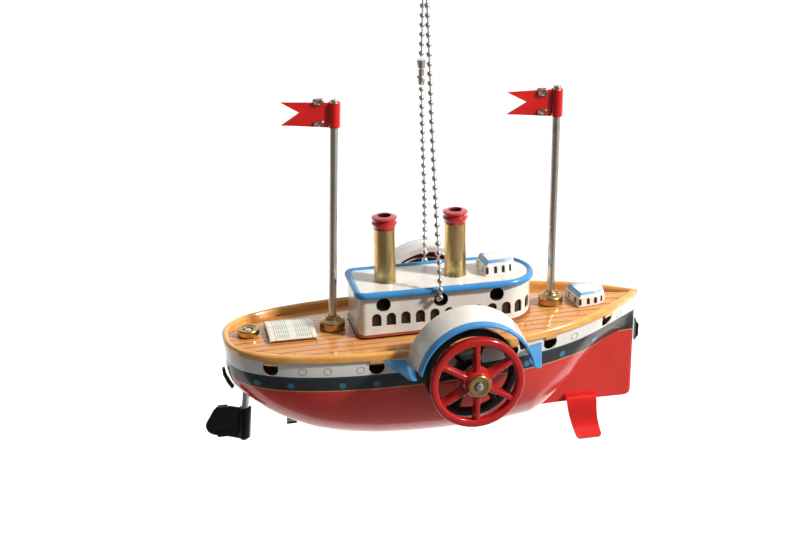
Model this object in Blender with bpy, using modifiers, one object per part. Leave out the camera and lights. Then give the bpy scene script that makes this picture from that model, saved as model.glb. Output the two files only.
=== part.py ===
# Pressed tinplate toy paddle steamer that hangs from a ball chain, built in metres with +Z up.
# +X is the bow and +Y is port. The world origin is the underside of the chain's top bend, where a hook holds it.
# The tables and sizes below are in millimetres in the ship's own frame:
# x from the paddle axle, y from the centre plane, z from the middle of the deck.

import math

import bmesh
import bpy
import numpy as np
from mathutils import Vector

MM = 0.001
GAP = 0.3

# Where the hook sits, in ship millimetres.
HANG = (-8.2, 0.0, 128.0)

# Hull plan and sheer.
STERN_X = -84.8
STEM_X = 75.8
HALF_BEAM = 28.3
SHEER = (0.3, 0.022, 0.00026)
TIN = 0.5
FIN_HALF = 0.65
HULL_INSET = 0.8
HULL_TOP_DROP = 1.1

# Lowest line of the hull with its fin, and the crease where the round body ends: x, z.
BOTTOM_LINE = (
    (-84.1, -11.0), (-83.2, -15.0), (-81.4, -18.8), (-78.0, -22.3), (-74.4, -25.4), (-70.0, -29.0),
    (-61.0, -34.3), (-51.8, -38.2), (-40.2, -41.2), (-25.0, -43.2), (-7.0, -43.9), (15.0, -43.3),
    (30.0, -42.3), (40.0, -41.7), (56.0, -41.4), (71.5, -41.5), (74.2, -40.4), (75.0, -38.0),
)
CREASE_LINE = (
    (30.0, -42.3), (35.0, -40.0), (39.4, -37.0), (44.3, -33.2), (48.0, -29.3), (57.0, -20.5),
    (65.5, -15.0), (73.0, -11.3), (75.0, -10.4),
)
CREASE_START = 30.0

# Stations along the half plan, before the ends of the tabs are added.
STATIONS = 26

# Deck tray: rim width, height of the outer skirt, drop from rim top to deck edge and crown of the deck.
RIM_WIDTH = 2.4
SKIRT = 2.8
DECK_DROP = 3.0
DECK_CROWN = 2.3
DECK_TIN = 0.35

# Folded tabs of the deck and the round holes that take them: x, tab length.
DECK_TABS = ((-70.0, 4.2), (-32.5, 5.0), (17.5, 4.6), (33.4, 4.6), (60.0, 4.2))
TAB_HOLE_R = 2.9
TAB_HOLE_DROP = 5.8

# Cabin plan: aft wall x, centre x of the round fore end, half width, corner radius.
CABIN_PLAN = (-36.0, 19.2, 12.4, 3.0)
CABIN_TOP = 14.8
WALL_TIN = 0.5
WINDOW_PITCH = 5.45
WINDOW_FIRST_X = -29.4
WINDOW_SIZE = (3.5, 5.0)
WINDOW_SILL = 3.4
CABIN_HOLES = (-26.8, -5.3, 15.9)
CABIN_HOLE_R = 2.7
CABIN_HOLE_Z = 11.7
ROOF_Z = 16.4
ROOF_PLAN = (-37.2, 18.8, 14.2, 4.3)

# Houses: name, aft x, fore centre x, base half width, z of the base, wall height, full height, turn in degrees, y.
HOUSES = (
    ("wheelhouse", 12.5, 20.6, 5.5, 16.7, 3.8, 5.7, 5.0, 0.0),
    ("deckhouse", 48.3, 55.6, 6.3, 1.1, 4.0, 5.4, 7.0, -1.2),
)

# Roof of a house: inset, share of the way from wall top to crown, extra inset of the aft edge.
HOUSE_ROOF = ((0.6, 0.0, 0.3), (0.8, 0.5, 0.4), (1.1, 0.85, 0.5), (2.0, 1.0, 0.7))

# Funnels: name, x, outer radius, top z, cap radius.
FUNNELS = (("aft", -23.6), ("fore", 3.1))
FUNNEL_R = 4.0
FUNNEL_WALL = 0.8
FUNNEL_TOP = 36.8
CAP_TOP = 41.9
CAP_R = 4.75

# Masts: name, x, forward lean per mm of height, top z.
MASTS = (("aft", -43.9, 0.037, 86.6), ("fore", 40.6, 0.006, 86.2))
MAST_R = 1.5
BASE_R = 4.7
BASE_H = 4.9

# Flags in the centre plane: name, mast, tip x, notch x, low z at mast, high z at mast, low tip z, high tip z.
FLAGS = (
    ("aft", -60.0, -53.4, 76.4, 85.4, 78.3, 86.6),
    ("fore", 22.1, 29.6, 74.8, 84.8, 76.6, 84.8),
)

# Paddle wheels on the axle at x = 0.
AXLE_Z = -7.4
AXLE_R = 1.5
AXLE_HALF = 49.0
WHEEL_R = 17.1
WHEEL_RIM = 2.8
WHEEL_DEPTH = 3.2
HUB_R = 5.5
RED_FACE_Y = 45.9
HUB_RISE = 1.2
BLACK_FACE_Y = 37.2
SPOKES = 6

# Paddle boxes droop outward: y, radius, centre x and centre z from the inner flange to the open outer edge.
BOX_PROFILE = (
    (29.9, 20.1, 0.1, -6.0), (29.9, 22.0, 0.1, -6.0), (30.3, 22.4, 0.1, -6.0), (41.2, 21.7, 0.3, -6.5),
    (44.6, 21.4, 0.5, -7.0), (44.6, 20.6, 0.5, -7.0),
)
BOX_ANGLES = (8.0, 168.5)

# Rudder: top and bottom of its rod, blade outline behind it: x, z.
ROD_TOP = (-75.2, 1.6)
ROD_LOW = (-78.9, -43.2)
ROD_R = 1.55
EYELET_H = 2.5
BLADE_OUTLINE = (
    (-79.6, -43.0), (-79.0, -30.0), (-84.0, -28.6), (-88.0, -28.2), (-89.6, -29.6), (-92.8, -35.0),
    (-93.0, -36.6), (-92.0, -38.8), (-90.0, -40.0), (-84.0, -41.4),
)

# Foot strap: y, z, aft x and fore x from the slot in the fin to the end; the port end is a short folded tab.
FOOT_TAB = (
    (0.0, -38.9, 47.2, 59.4), (2.0, -38.9, 47.2, 59.4), (3.2, -39.3, 47.2, 59.4), (3.9, -40.6, 47.3, 59.4),
    (4.1, -42.6, 47.5, 59.4),
)
FOOT_PROFILE = (
    (0.0, -38.9, 47.2, 59.4), (2.0, -38.9, 47.2, 59.4), (3.2, -39.3, 47.2, 59.4), (3.9, -40.6, 47.3, 59.4),
    (4.2, -43.0, 47.6, 59.4), (4.3, -46.0, 48.2, 59.6), (4.5, -48.6, 48.9, 59.9), (5.3, -50.8, 49.5, 60.2),
    (7.0, -52.8, 50.0, 60.4), (9.2, -54.2, 50.3, 60.5),
)
FOOT_TIN = 0.8

# Ball chain.
BALL_R = 1.15
LINK_R = 0.4
BALL_PITCH = 3.4
CONNECTOR_R = 1.75
CHAIN_PATH = (
    (-8.78, 2.55, 98.6), (-8.4, 1.85, 116.0), (-8.2, 1.75, 126.2), (-8.2, 1.4, 127.7), (-8.2, 0.0, 128.9),
    (-8.2, -1.4, 127.7), (-8.2, -1.75, 126.2), (-7.8, -2.8, 117.0), (-7.0, -6.6, 72.0), (-6.6, -11.6, 40.0),
    (-6.4, -15.5, 18.5), (-6.3, -15.7, 15.4), (-6.2, -14.2, 13.0), (-6.1, -11.0, 12.0), (-6.0, -6.0, 11.7),
    (-5.9, 0.0, 11.6), (-5.7, 6.0, 11.7), (-5.5, 11.0, 12.0), (-5.2, 14.2, 13.0), (-4.9, 15.7, 15.4),
    (-4.9, 15.5, 18.5), (-6.0, 10.8, 44.0), (-7.9, 5.7, 76.0), (-8.6, 3.6, 88.6),
)

RED = (0.62, 0.03, 0.03)
WHITE = (0.82, 0.81, 0.78)
BLUE = (0.10, 0.33, 0.70)
ORANGE = (0.75, 0.33, 0.07)
BRASS = (0.66, 0.48, 0.20)
STEEL = (0.55, 0.54, 0.52)
BLACK = (0.02, 0.02, 0.02)


def clear_scene():
    for item in list(bpy.data.objects):
        bpy.data.objects.remove(item, do_unlink=True)
    cutters = bpy.data.collections.new("cutters")
    bpy.context.scene.collection.children.link(cutters)
    return cutters


CUTTERS = clear_scene()


def material(name, color, metallic=0.0, roughness=0.35):
    found = bpy.data.materials.get(name)
    if found:
        return found
    made = bpy.data.materials.new(name)
    made.use_nodes = True
    shader = made.node_tree.nodes["Principled BSDF"]
    shader.inputs["Base Color"].default_value = (color[0], color[1], color[2], 1.0)
    shader.inputs["Metallic"].default_value = metallic
    shader.inputs["Roughness"].default_value = roughness
    return made


def paints():
    material("red_paint", RED)
    material("white_paint", WHITE)
    material("blue_paint", BLUE)
    material("deck_print", ORANGE)
    material("brass", BRASS, 1.0, 0.3)
    material("steel", STEEL, 1.0, 0.3)
    material("black_paint", BLACK)


def world(point):
    return (
        (point[0] - HANG[0]) * MM,
        (point[1] - HANG[1]) * MM,
        (point[2] - HANG[2]) * MM,
    )


def mesh_object(name, points, faces, paint=None):
    data = bpy.data.meshes.new(name)
    data.from_pydata([world(p) for p in points], [], faces)
    data.validate()
    box = bmesh.new()
    box.from_mesh(data)
    bmesh.ops.recalc_face_normals(box, faces=box.faces)
    box.to_mesh(data)
    box.free()
    made = bpy.data.objects.new(name, data)
    if paint is None:
        CUTTERS.objects.link(made)
        made.hide_render = True
        made.display_type = "WIRE"
    else:
        bpy.context.scene.collection.objects.link(made)
        data.materials.append(bpy.data.materials[paint])
    return made


def loft_faces(rings, ring_closed, start=0):
    count = len(rings[0])
    faces = []
    last = count if ring_closed else count - 1
    for row in range(len(rings) - 1):
        low = start + row * count
        high = low + count
        for step in range(last):
            after = (step + 1) % count
            faces.append((low + step, low + after, high + after, high + step))
    return faces


def loft(name, rings, paint, loop=False):
    """Skin a list of closed rings, with flat caps or joined end to end as a loop."""
    points = [p for ring in rings for p in ring]
    faces = loft_faces(rings, True)
    count = len(rings[0])
    if loop:
        base = (len(rings) - 1) * count
        for step in range(count):
            after = (step + 1) % count
            faces.append((base + step, base + after, after, step))
    else:
        faces.append(tuple(range(count - 1, -1, -1)))
        base = (len(rings) - 1) * count
        faces.append(tuple(range(base, base + count)))
    return mesh_object(name, points, faces, paint)


def sheet(name, grid, thickness, paint, inward=True):
    """Skin an open grid of points and give it a thickness."""
    points = [p for row in grid for p in row]
    faces = loft_faces(grid, False)
    made = mesh_object(name, points, faces, paint)
    add_thickness(made, thickness, inward)
    return made


def add_thickness(made, thickness, inward=True):
    solid = made.modifiers.new("tin", "SOLIDIFY")
    solid.thickness = thickness * MM
    solid.offset = -1.0 if inward else 1.0


def cut(made, cutter, label):
    step = made.modifiers.new(label, "BOOLEAN")
    step.operation = "DIFFERENCE"
    step.solver = "EXACT"
    step.object = cutter


def turned(name, profile, centre, axis, paint, segments=24, phase=0.0):
    """Turn a profile of (radius, distance along the axis) about the axis; a closed body with flat ends."""
    along = Vector(axis).normalized()
    side = along.cross(Vector((0.0, 0.0, 1.0)))
    if side.length < 0.1:
        side = Vector((1.0, 0.0, 0.0))
    side.normalize()
    other = along.cross(side)
    rings = []
    for radius, reach in profile:
        ring = []
        for step in range(segments):
            angle = phase + 2.0 * math.pi * step / segments
            offset = side * (radius * math.cos(angle)) + other * (radius * math.sin(angle))
            place = Vector(centre) + along * reach + offset
            ring.append(tuple(place))
        rings.append(ring)
    return rings


def solid_turned(name, profile, centre, axis, paint, segments=24):
    rings = turned(name, profile, centre, axis, paint, segments)
    return loft(name, rings, paint)


def ring_turned(name, profile, centre, axis, paint, segments=24):
    """The same for a closed profile that goes round a bore."""
    rings = turned(name, profile, centre, axis, paint, segments)
    return loft(name, rings, paint, loop=True)


def smooth_table(table):
    """Monotone cubic through a table of (x, value) rows."""
    xs = np.array([row[0] for row in table])
    ys = np.array([row[1] for row in table])
    steps = np.diff(xs)
    slopes = np.diff(ys) / steps
    tangents = np.zeros(len(xs))
    for k in range(1, len(xs) - 1):
        if slopes[k - 1] * slopes[k] > 0.0:
            wide = 2.0 * steps[k] + steps[k - 1]
            near = steps[k] + 2.0 * steps[k - 1]
            tangents[k] = (wide + near) / (wide / slopes[k - 1] + near / slopes[k])
    tangents[0] = slopes[0]
    tangents[-1] = slopes[-1]

    def value(x):
        x = min(max(x, xs[0]), xs[-1])
        k = min(int(np.searchsorted(xs, x, side="right")) - 1, len(xs) - 2)
        t = (x - xs[k]) / steps[k]
        a = (1.0 + 2.0 * t) * (1.0 - t) ** 2 * ys[k]
        b = t * (1.0 - t) ** 2 * steps[k] * tangents[k]
        c = t * t * (3.0 - 2.0 * t) * ys[k + 1]
        d = t * t * (t - 1.0) * steps[k] * tangents[k + 1]
        return float(a + b + c + d)

    return value


bottom_z = smooth_table(BOTTOM_LINE)
crease_table = smooth_table(CREASE_LINE)


def crease_z(x):
    if x <= CREASE_START:
        return bottom_z(x)
    return max(crease_table(x), bottom_z(x))


def rim_z(x):
    return SHEER[0] + SHEER[1] * x + SHEER[2] * x * x


def half_width(x):
    if x >= 0.0:
        return HALF_BEAM * max(0.0, 1.0 - (x / STEM_X) ** 2.55)
    if x >= -12.0:
        return HALF_BEAM
    part = min(1.0, (-x - 12.0) / (-STERN_X - 12.0))
    return HALF_BEAM * max(0.0, 1.0 - part ** 2.6) ** (1.0 / 2.6)


def deck_z(x, y):
    across = min(1.0, abs(y) / max(1.0, half_width(x) - RIM_WIDTH))
    return rim_z(x) - DECK_DROP + DECK_CROWN * (1.0 - across * across)


def dense_outline():
    """Half of the plan from the stern tip to the stem, as an array of (x, y >= 0)."""
    turn = np.linspace(0.0, math.pi / 2.0, 160)
    stern = [(STERN_X + (-12.0 - STERN_X) * (1.0 - math.cos(t)), 0.0) for t in turn]
    xs = [p[0] for p in stern] + list(np.linspace(-11.0, STEM_X, 160))
    return np.array([(x, half_width(x)) for x in xs])


def inset_outline(inset, count):
    """The half plan moved inward by a distance, resampled to count points from tip to tip."""
    line = dense_outline()
    run = np.gradient(line, axis=0)
    length = np.hypot(run[:, 0], run[:, 1])
    normal = np.stack([run[:, 1], -run[:, 0]], axis=1) / length[:, None]
    normal[0] = (1.0, 0.0)
    moved = line + normal * inset
    if inset > 0.0:
        keep = moved[:, 1] > 0.0
        keep[0] = False
        inner = moved[keep]
        gone = np.argmax(inner[:, 0])
        inner = inner[: gone + 1]
        tail = inner[-1]
        before = inner[-2]
        slope = (tail[1] - before[1]) / max(1e-6, tail[0] - before[0])
        tip = tail[0] - tail[1] / min(slope, -0.5)
        moved = np.vstack([[line[0, 0] + inset, 0.0], inner, [tip, 0.0]])
    gaps = np.hypot(np.diff(moved[:, 0]), np.diff(moved[:, 1]))
    way = np.concatenate([[0.0], np.cumsum(gaps)])
    share = np.linspace(0.0, 1.0, count)
    share = share - 0.035 * np.sin(2.0 * math.pi * share)
    at = share * way[-1]
    return np.stack([np.interp(at, way, moved[:, 0]), np.interp(at, way, moved[:, 1])], axis=1)


def section(x, width, top, rows_body, rows_fin):
    """Points (y, z) down one side of the hull from its top edge to the bottom line."""
    crease = min(crease_z(x), top - 2.0)
    low = min(bottom_z(x), crease)
    power = 2.3
    if x > 15.0:
        power = 2.3 - 0.75 * min(1.0, (x - 15.0) / 50.0)
    edge = FIN_HALF if x > CREASE_START else 0.15
    if CREASE_START - 10.0 < x <= CREASE_START:
        edge = 0.15 + (FIN_HALF - 0.15) * (x - CREASE_START + 10.0) / 10.0
    edge = min(edge, max(width, 0.15))
    turn = np.linspace(0.0, math.pi / 2.0, 90)
    ys = edge + (width - edge) * np.cos(turn) ** (2.0 / power)
    zs = top - (top - crease) * np.sin(turn) ** (2.0 / power)
    body = np.stack([ys, zs], axis=1)
    gaps = np.hypot(np.diff(ys), np.diff(zs))
    way = np.concatenate([[0.0], np.cumsum(gaps)])
    ease = min(1.0, max(0.0, (x - CREASE_START - 2.0) / 11.0))
    share = 0.74 + 0.26 * ease * ease * (3.0 - 2.0 * ease)
    stop = way[-1] * share
    first = np.linspace(0.0, stop, rows_body)
    line = np.vstack([body, [edge, low - 1e-6]])
    gaps = np.hypot(np.diff(line[:, 0]), np.diff(line[:, 1]))
    full = np.concatenate([[0.0], np.cumsum(gaps)])
    rest = np.linspace(stop, full[-1], rows_fin + 1)[1:]
    at = np.concatenate([first, rest])
    return np.stack([np.interp(at, full, line[:, 0]), np.interp(at, full, line[:, 1])], axis=1)


def tab_cutter():
    """Round tab holes through both sides, the axle hole, the rod hole and the strap's slot, as one cutter."""
    points = []
    faces = []

    def add(rings):
        start = len(points)
        count = len(rings[0])
        for ring in rings:
            points.extend(ring)
        faces.extend(loft_faces(rings, True, start))
        faces.append(tuple(range(start + count - 1, start - 1, -1)))
        faces.append(tuple(range(start + count, start + 2 * count)))

    for x, _ in DECK_TABS:
        z = rim_z(x) - TAB_HOLE_DROP
        for side in (-1.0, 1.0):
            reach = half_width(x)
            slope = (half_width(x + 1.0) - half_width(x - 1.0)) / 2.0
            out = Vector((-slope, 1.0, 0.0)).normalized()
            centre = Vector((x, side * (reach - HULL_INSET), z))
            axis = Vector((out.x, side * out.y, 0.0))
            add(turned("", ((TAB_HOLE_R, -2.5), (TAB_HOLE_R, 2.5)), centre, axis, None, 12))
    for side in (-1.0, 1.0):
        centre = (0.0, side * 20.0, AXLE_Z)
        add(turned("", ((AXLE_R + 0.3, 0.0), (AXLE_R + 0.3, 12.0)), centre, (0.0, side, 0.0), None, 12))
    rod = Vector((ROD_LOW[0] - ROD_TOP[0], 0.0, ROD_LOW[1] - ROD_TOP[1]))
    start = Vector((ROD_TOP[0], 0.0, ROD_TOP[1]))
    add(turned("", ((ROD_R + 0.3, 10.0), (ROD_R + 0.3, 44.0)), start, rod, None, 12))
    low = FOOT_PROFILE[0][1] - FOOT_TIN / 2.0 - GAP
    high = FOOT_PROFILE[0][1] + FOOT_TIN / 2.0 + GAP
    aft = FOOT_PROFILE[0][2] - GAP
    fore = FOOT_PROFILE[0][3] + GAP
    slot = []
    for y in (-1.9, 1.9):
        slot.append([(aft, y, low), (fore, y, low), (fore, y, high), (aft, y, high)])
    add(slot)
    return mesh_object("hull_cutter", points, faces)


def hull_half(name, side, cutter):
    """One pressed half of the hull, from the rim to the keel, with its half of the flat fin."""
    line = inset_outline(HULL_INSET, 400)
    way = np.linspace(0.0, 1.0, 400)
    grid = []
    for share in deck_stations(STATIONS):
        x = min(float(np.interp(share, way, line[:, 0])), 75.0)
        width = float(np.interp(share, way, line[:, 1]))
        top = rim_z(x) - HULL_TOP_DROP
        row = []
        for y, z in section(x, max(width, 0.15), top, 8, 3):
            row.append((x, side * max(y, 0.15), z))
        grid.append(row)
    made = sheet(name, grid, TIN, "red_paint")
    cut(made, cutter, "holes")
    near = side * 0.1
    far = -side * 6.0
    ends = [[(-90.0, y, -50.0), (80.0, y, -50.0), (80.0, y, 8.0), (-90.0, y, 8.0)] for y in (near, far)]
    cut(made, loft(name + "_seam_cutter", ends, None), "seam")
    return made


def skirt_drop(x):
    """Extra length of the deck's skirt where a tab is folded down into its hole."""
    for place, length in DECK_TABS:
        if abs(x - place) < length / 2.0:
            return 2.3
    return 0.0


def deck_stations(count):
    """Shares along the half plan, with pairs added at the ends of each tab."""
    line = inset_outline(0.0, 400)
    way = np.linspace(0.0, 1.0, 400)
    base = list(np.linspace(0.0, 1.0, count))
    marks = []
    for place, length in DECK_TABS:
        for end in (-0.5, 0.5):
            for shift in (-0.16, 0.16):
                goal = place + end * length + shift * (1.0 if end > 0 else 1.0)
                marks.append(float(np.interp(goal, line[:, 0], way)))
    kept = [b for b in base if all(abs(b - m) > 0.004 for m in marks)]
    return sorted(kept + marks)


def deck_tray():
    """The deck sheet: skirt, rolled rim, inner wall and crowned deck, mirrored about the centre plane."""
    shares = deck_stations(STATIONS)
    profile = (
        (0.0, SKIRT, True), (0.0, SKIRT - 0.25, False), (0.0, 1.1, False), (0.5, 0.25, False),
        (1.25, 0.0, False), (2.0, 0.25, False), (RIM_WIDTH, 0.9, False), (RIM_WIDTH, DECK_DROP, False),
    )
    halves = []
    outer = inset_outline(0.0, 400)
    way = np.linspace(0.0, 1.0, 400)
    for inset, drop, tabbed in profile:
        line = inset_outline(inset, 400)
        row = []
        for share in shares:
            x = float(np.interp(share, way, line[:, 0]))
            y = float(np.interp(share, way, line[:, 1]))
            plan_x = float(np.interp(share, way, outer[:, 0]))
            extra = skirt_drop(plan_x) if tabbed else 0.0
            lean = 0.25 if extra > 0.0 else 0.0
            row.append((x, max(0.0, y - lean), rim_z(x) - drop - extra))
        halves.append(row)
    points = []
    faces = []
    count = len(shares)
    around = 2 * (count - 1)
    for row in halves:
        for k in range(count):
            x, y, z = row[k]
            points.append((x, -y if 0 < k < count - 1 else 0.0, z))
        for k in range(count - 2, 0, -1):
            x, y, z = row[k]
            points.append((x, y, z))
    for level in range(len(halves) - 1):
        low = level * around
        high = low + around
        for step in range(around):
            after = (step + 1) % around
            faces.append((low + step, low + after, high + after, high + step))
    last = (len(halves) - 1) * around
    cross = 3
    ladder = {}
    for k in range(1, count - 1):
        line = [last + k]
        x, y, z = halves[-1][k]
        for part in range(1, cross):
            across = -y + 2.0 * y * part / cross
            line.append(len(points))
            points.append((x, across, deck_z(x, across)))
        line.append(last + around - k)
        ladder[k] = line
    for k in range(1, count - 2):
        for part in range(cross):
            faces.append((ladder[k][part], ladder[k][part + 1], ladder[k + 1][part + 1], ladder[k + 1][part]))
    for part in range(cross):
        faces.append((last, ladder[1][part + 1], ladder[1][part]))
        faces.append((last + count - 1, ladder[count - 2][part], ladder[count - 2][part + 1]))
    made = mesh_object("deck", points, faces, "deck_print")
    add_thickness(made, DECK_TIN)
    rod = Vector((ROD_LOW[0] - ROD_TOP[0], 0.0, ROD_LOW[1] - ROD_TOP[1]))
    start = Vector((ROD_TOP[0], 0.0, ROD_TOP[1]))
    hole = solid_turned("deck_cutter", ((ROD_R + 0.3, -3.0), (ROD_R + 0.3, 6.0)), start, rod, None, 16)
    cut(made, hole, "rod_hole")
    return made


def d_plan(plan, inset, arc=14, corner=3, side=4):
    """Closed plan of a house: flat aft wall with round corners and a half-round fore end."""
    aft, centre, half, radius = plan
    aft = aft + inset
    half = half - inset
    radius = max(0.3, radius - inset)
    points = []
    for step in range(arc + 1):
        angle = -math.pi / 2.0 + math.pi * step / arc
        points.append((centre + half * math.cos(angle), half * math.sin(angle)))
    for step in range(1, side):
        points.append((centre + (aft + radius - centre) * step / side, half))
    for step in range(corner + 1):
        angle = math.pi / 2.0 + math.pi / 2.0 * step / corner
        points.append((aft + radius + radius * math.cos(angle), half - radius + radius * math.sin(angle)))
    for step in range(corner + 1):
        angle = math.pi + math.pi / 2.0 * step / corner
        points.append((aft + radius + radius * math.cos(angle), radius - half + radius * math.sin(angle)))
    for step in range(1, side):
        points.append((aft + radius + (centre - aft - radius) * step / side, -half))
    return points


def arch_cutter_rings(origin, along, out, width, height, depth):
    """Two rings of an arched window, sill at the origin, pushed through a wall."""
    half = width / 2.0
    shape = [(-half, 0.0), (half, 0.0)]
    for step in range(7):
        angle = math.pi * step / 6.0
        shape.append((half * math.cos(angle), height - half + half * math.sin(angle)))
    rings = []
    for reach in (-depth, depth):
        ring = []
        for s, t in shape:
            place = Vector(origin) + Vector(along) * s + Vector(out) * reach
            ring.append((place.x, place.y, place.z + t))
        rings.append(ring)
    return rings


def cabin_openings():
    points = []
    faces = []
    aft, centre, half, radius = CABIN_PLAN

    def add(rings):
        start = len(points)
        count = len(rings[0])
        for ring in rings:
            points.extend(ring)
        faces.extend(loft_faces(rings, True, start))
        faces.append(tuple(range(start + count - 1, start - 1, -1)))
        faces.append(tuple(range(start + count, start + 2 * count)))

    width, height = WINDOW_SIZE
    for step in range(10):
        x = WINDOW_FIRST_X + WINDOW_PITCH * step
        for side in (-1.0, 1.0):
            origin = (x, side * half, WINDOW_SILL)
            add(arch_cutter_rings(origin, (1.0, 0.0, 0.0), (0.0, side, 0.0), width, height, 1.6))
    for step in (-2.5, -1.5, -0.5, 0.5, 1.5, 2.5):
        angle = step * math.radians(180.0 / 7.0)
        out = (math.cos(angle), math.sin(angle), 0.0)
        origin = (centre + half * out[0], half * out[1], WINDOW_SILL)
        add(arch_cutter_rings(origin, (-out[1], out[0], 0.0), out, width * 0.94, height, 1.6))
    for x in CABIN_HOLES:
        for side in (-1.0, 1.0):
            origin = (x, side * (half - 1.6), CABIN_HOLE_Z)
            hole = ((CABIN_HOLE_R, 0.0), (CABIN_HOLE_R, 3.2))
            add(turned("", hole, origin, (0.0, side, 0.0), None, 12))
    return mesh_object("cabin_cutter", points, faces)


def cabin():
    """Hollow wall of the cabin with a foot flange on the deck."""
    levels = ((-0.6, 0.75), (-0.1, 0.8), (0.0, 1.15), (0.0, 7.0), (0.0, None))
    grid = []
    for inset, lift in levels:
        ring = []
        for x, y in d_plan(CABIN_PLAN, inset):
            z = CABIN_TOP if lift is None else deck_z(x, y) + lift + 0.1
            ring.append((x, y, z))
        ring.append(ring[0])
        grid.append(ring)
    points = [p for row in grid for p in row[:-1]]
    faces = loft_faces([row[:-1] for row in grid], True)
    made = mesh_object("cabin", points, faces, "white_paint")
    box = bmesh.new()
    box.from_mesh(made.data)
    box.faces.ensure_lookup_table()
    face = max(box.faces, key=lambda f: f.calc_center_median().x)
    if face.normal.x < 0.0:
        bmesh.ops.reverse_faces(box, faces=box.faces)
    box.to_mesh(made.data)
    box.free()
    add_thickness(made, WALL_TIN)
    cut(made, cabin_openings(), "windows")
    return made


def roof():
    """Roof plate with a rolled bead standing above it and turned down outside the wall."""
    levels = (
        (3.4, 15.15), (0.9, 15.1), (0.75, 14.75), (0.45, 14.75), (0.1, 15.2), (0.0, 15.8), (0.25, 16.6),
        (0.9, 17.15), (1.6, 17.15), (2.1, 16.8), (2.5, ROOF_Z), (3.4, ROOF_Z),
    )
    rings = []
    for inset, z in levels:
        rings.append([(x, y, z) for x, y in d_plan(ROOF_PLAN, inset)])
    return loft("roof", rings, "blue_paint")


def house(row):
    """Small pressed house: upright walls, soft domed roof with its aft edge sloped, round fore end."""
    name, aft, centre, half, base, wall, height, turn, shift = row
    levels = [(3.4, 0.0, 0.0), (0.0, 0.0, 0.0), (0.05, 0.3, 0.0), (0.3, wall - 1.0, 0.0)]
    for inset, share, extra in HOUSE_ROOF:
        levels.append((inset, wall + share * (height - wall), extra))
    angle = math.radians(turn)
    middle = (aft + centre) / 2.0
    rings = []
    for inset, lift, extra in levels:
        plan = (aft + extra, centre, half, 1.0)
        ring = []
        for x, y in d_plan(plan, inset, arc=8, corner=2, side=1):
            dx = x - middle
            px = middle + dx * math.cos(angle) - y * math.sin(angle)
            py = shift + dx * math.sin(angle) + y * math.cos(angle)
            foot = max(base, deck_z(px, 0.0 if inset > 3.0 else py) + GAP + 0.05)
            ring.append((px, py, foot + lift if lift < 1.0 else base + lift))
        rings.append(ring)
    return loft(name, rings, "white_paint")


def funnel(label, x):
    low = ROOF_Z + 0.2
    r = FUNNEL_R
    inner = r - FUNNEL_WALL
    tube = ((r + 0.25, low), (r, low + 3.0), (r, FUNNEL_TOP), (inner, FUNNEL_TOP), (inner, low + 0.8), (inner, low))
    ring_turned("funnel_" + label, tube, (x, 0.0, 0.0), (0.0, 0.0, 1.0), "brass", 16)
    base = FUNNEL_TOP + GAP
    cap = (
        (2.4, base), (r + 0.15, base), (r + 0.2, base + 1.0), (CAP_R, base + 1.6), (CAP_R, base + 2.2),
        (r - 0.1, base + 2.7), (r - 0.1, base + 3.2), (CAP_R, base + 3.7), (CAP_R, base + 4.2), (2.4, CAP_TOP),
    )
    ring_turned("funnel_cap_" + label, cap, (x, 0.0, 0.0), (0.0, 0.0, 1.0), "red_paint", 16)


def mast(label, x, lean, top):
    ground = deck_z(x, 0.0) + GAP
    bore = MAST_R + 0.2
    base = (
        (bore, ground), (BASE_R, ground), (BASE_R, ground + 2.6), (BASE_R - 0.5, ground + 3.1),
        (BASE_R - 1.6, ground + 3.5), (2.7, ground + 4.0), (2.4, ground + BASE_H), (bore, ground + BASE_H),
    )
    ring_turned("mast_base_" + label, base, (x, 0.0, 0.0), (lean, 0.0, 1.0), "brass", 16)
    rod = (
        (MAST_R - 0.3, ground), (MAST_R, ground + 0.3), (MAST_R, top - 0.5), (MAST_R - 0.5, top),
    )
    solid_turned("mast_" + label, rod, (x, 0.0, 0.0), (lean, 0.0, 1.0), "steel", 12)


def plate_rings(outline, thickness):
    rings = []
    for y in (-thickness / 2.0, thickness / 2.0):
        rings.append([(x, y, z) for x, z in outline])
    return rings


def wrapped_plate(name, outline, thickness, start, axis, span, radius, bore, paint):
    """A folded sheet: a flat plate joined to a sleeve that wraps a rod."""
    plate = loft(name, plate_rings(outline, thickness), paint)
    tube = ((radius, span[0]), (radius, span[1]))
    sleeve = solid_turned(name + "_sleeve_cutter", tube, start, axis, None, 20)
    hole = solid_turned(name + "_bore_cutter", ((bore, span[0] - 2.0), (bore, span[1] + 2.0)), start, axis, None, 20)
    step = plate.modifiers.new("sleeve", "BOOLEAN")
    step.operation = "UNION"
    step.solver = "EXACT"
    step.object = sleeve
    cut(plate, hole, "bore")
    return plate


def flag(row):
    name, tip, notch, low, high, tip_low, tip_high = row
    line = [m for m in MASTS if m[0] == name][0]
    x = line[1] + line[2] * (low + high) / 2.0
    middle = (tip_low + tip_high) / 2.0
    outline = ((x - 1.0, low), (x - 1.0, high), (tip, tip_high), (notch, middle), (tip, tip_low))
    start = (line[1], 0.0, 0.0)
    axis = (line[2], 0.0, 1.0)
    wrapped_plate("flag_" + name, outline, 0.9, start, axis, (low, high), MAST_R + 0.75, MAST_R + 0.2, "red_paint")


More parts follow.
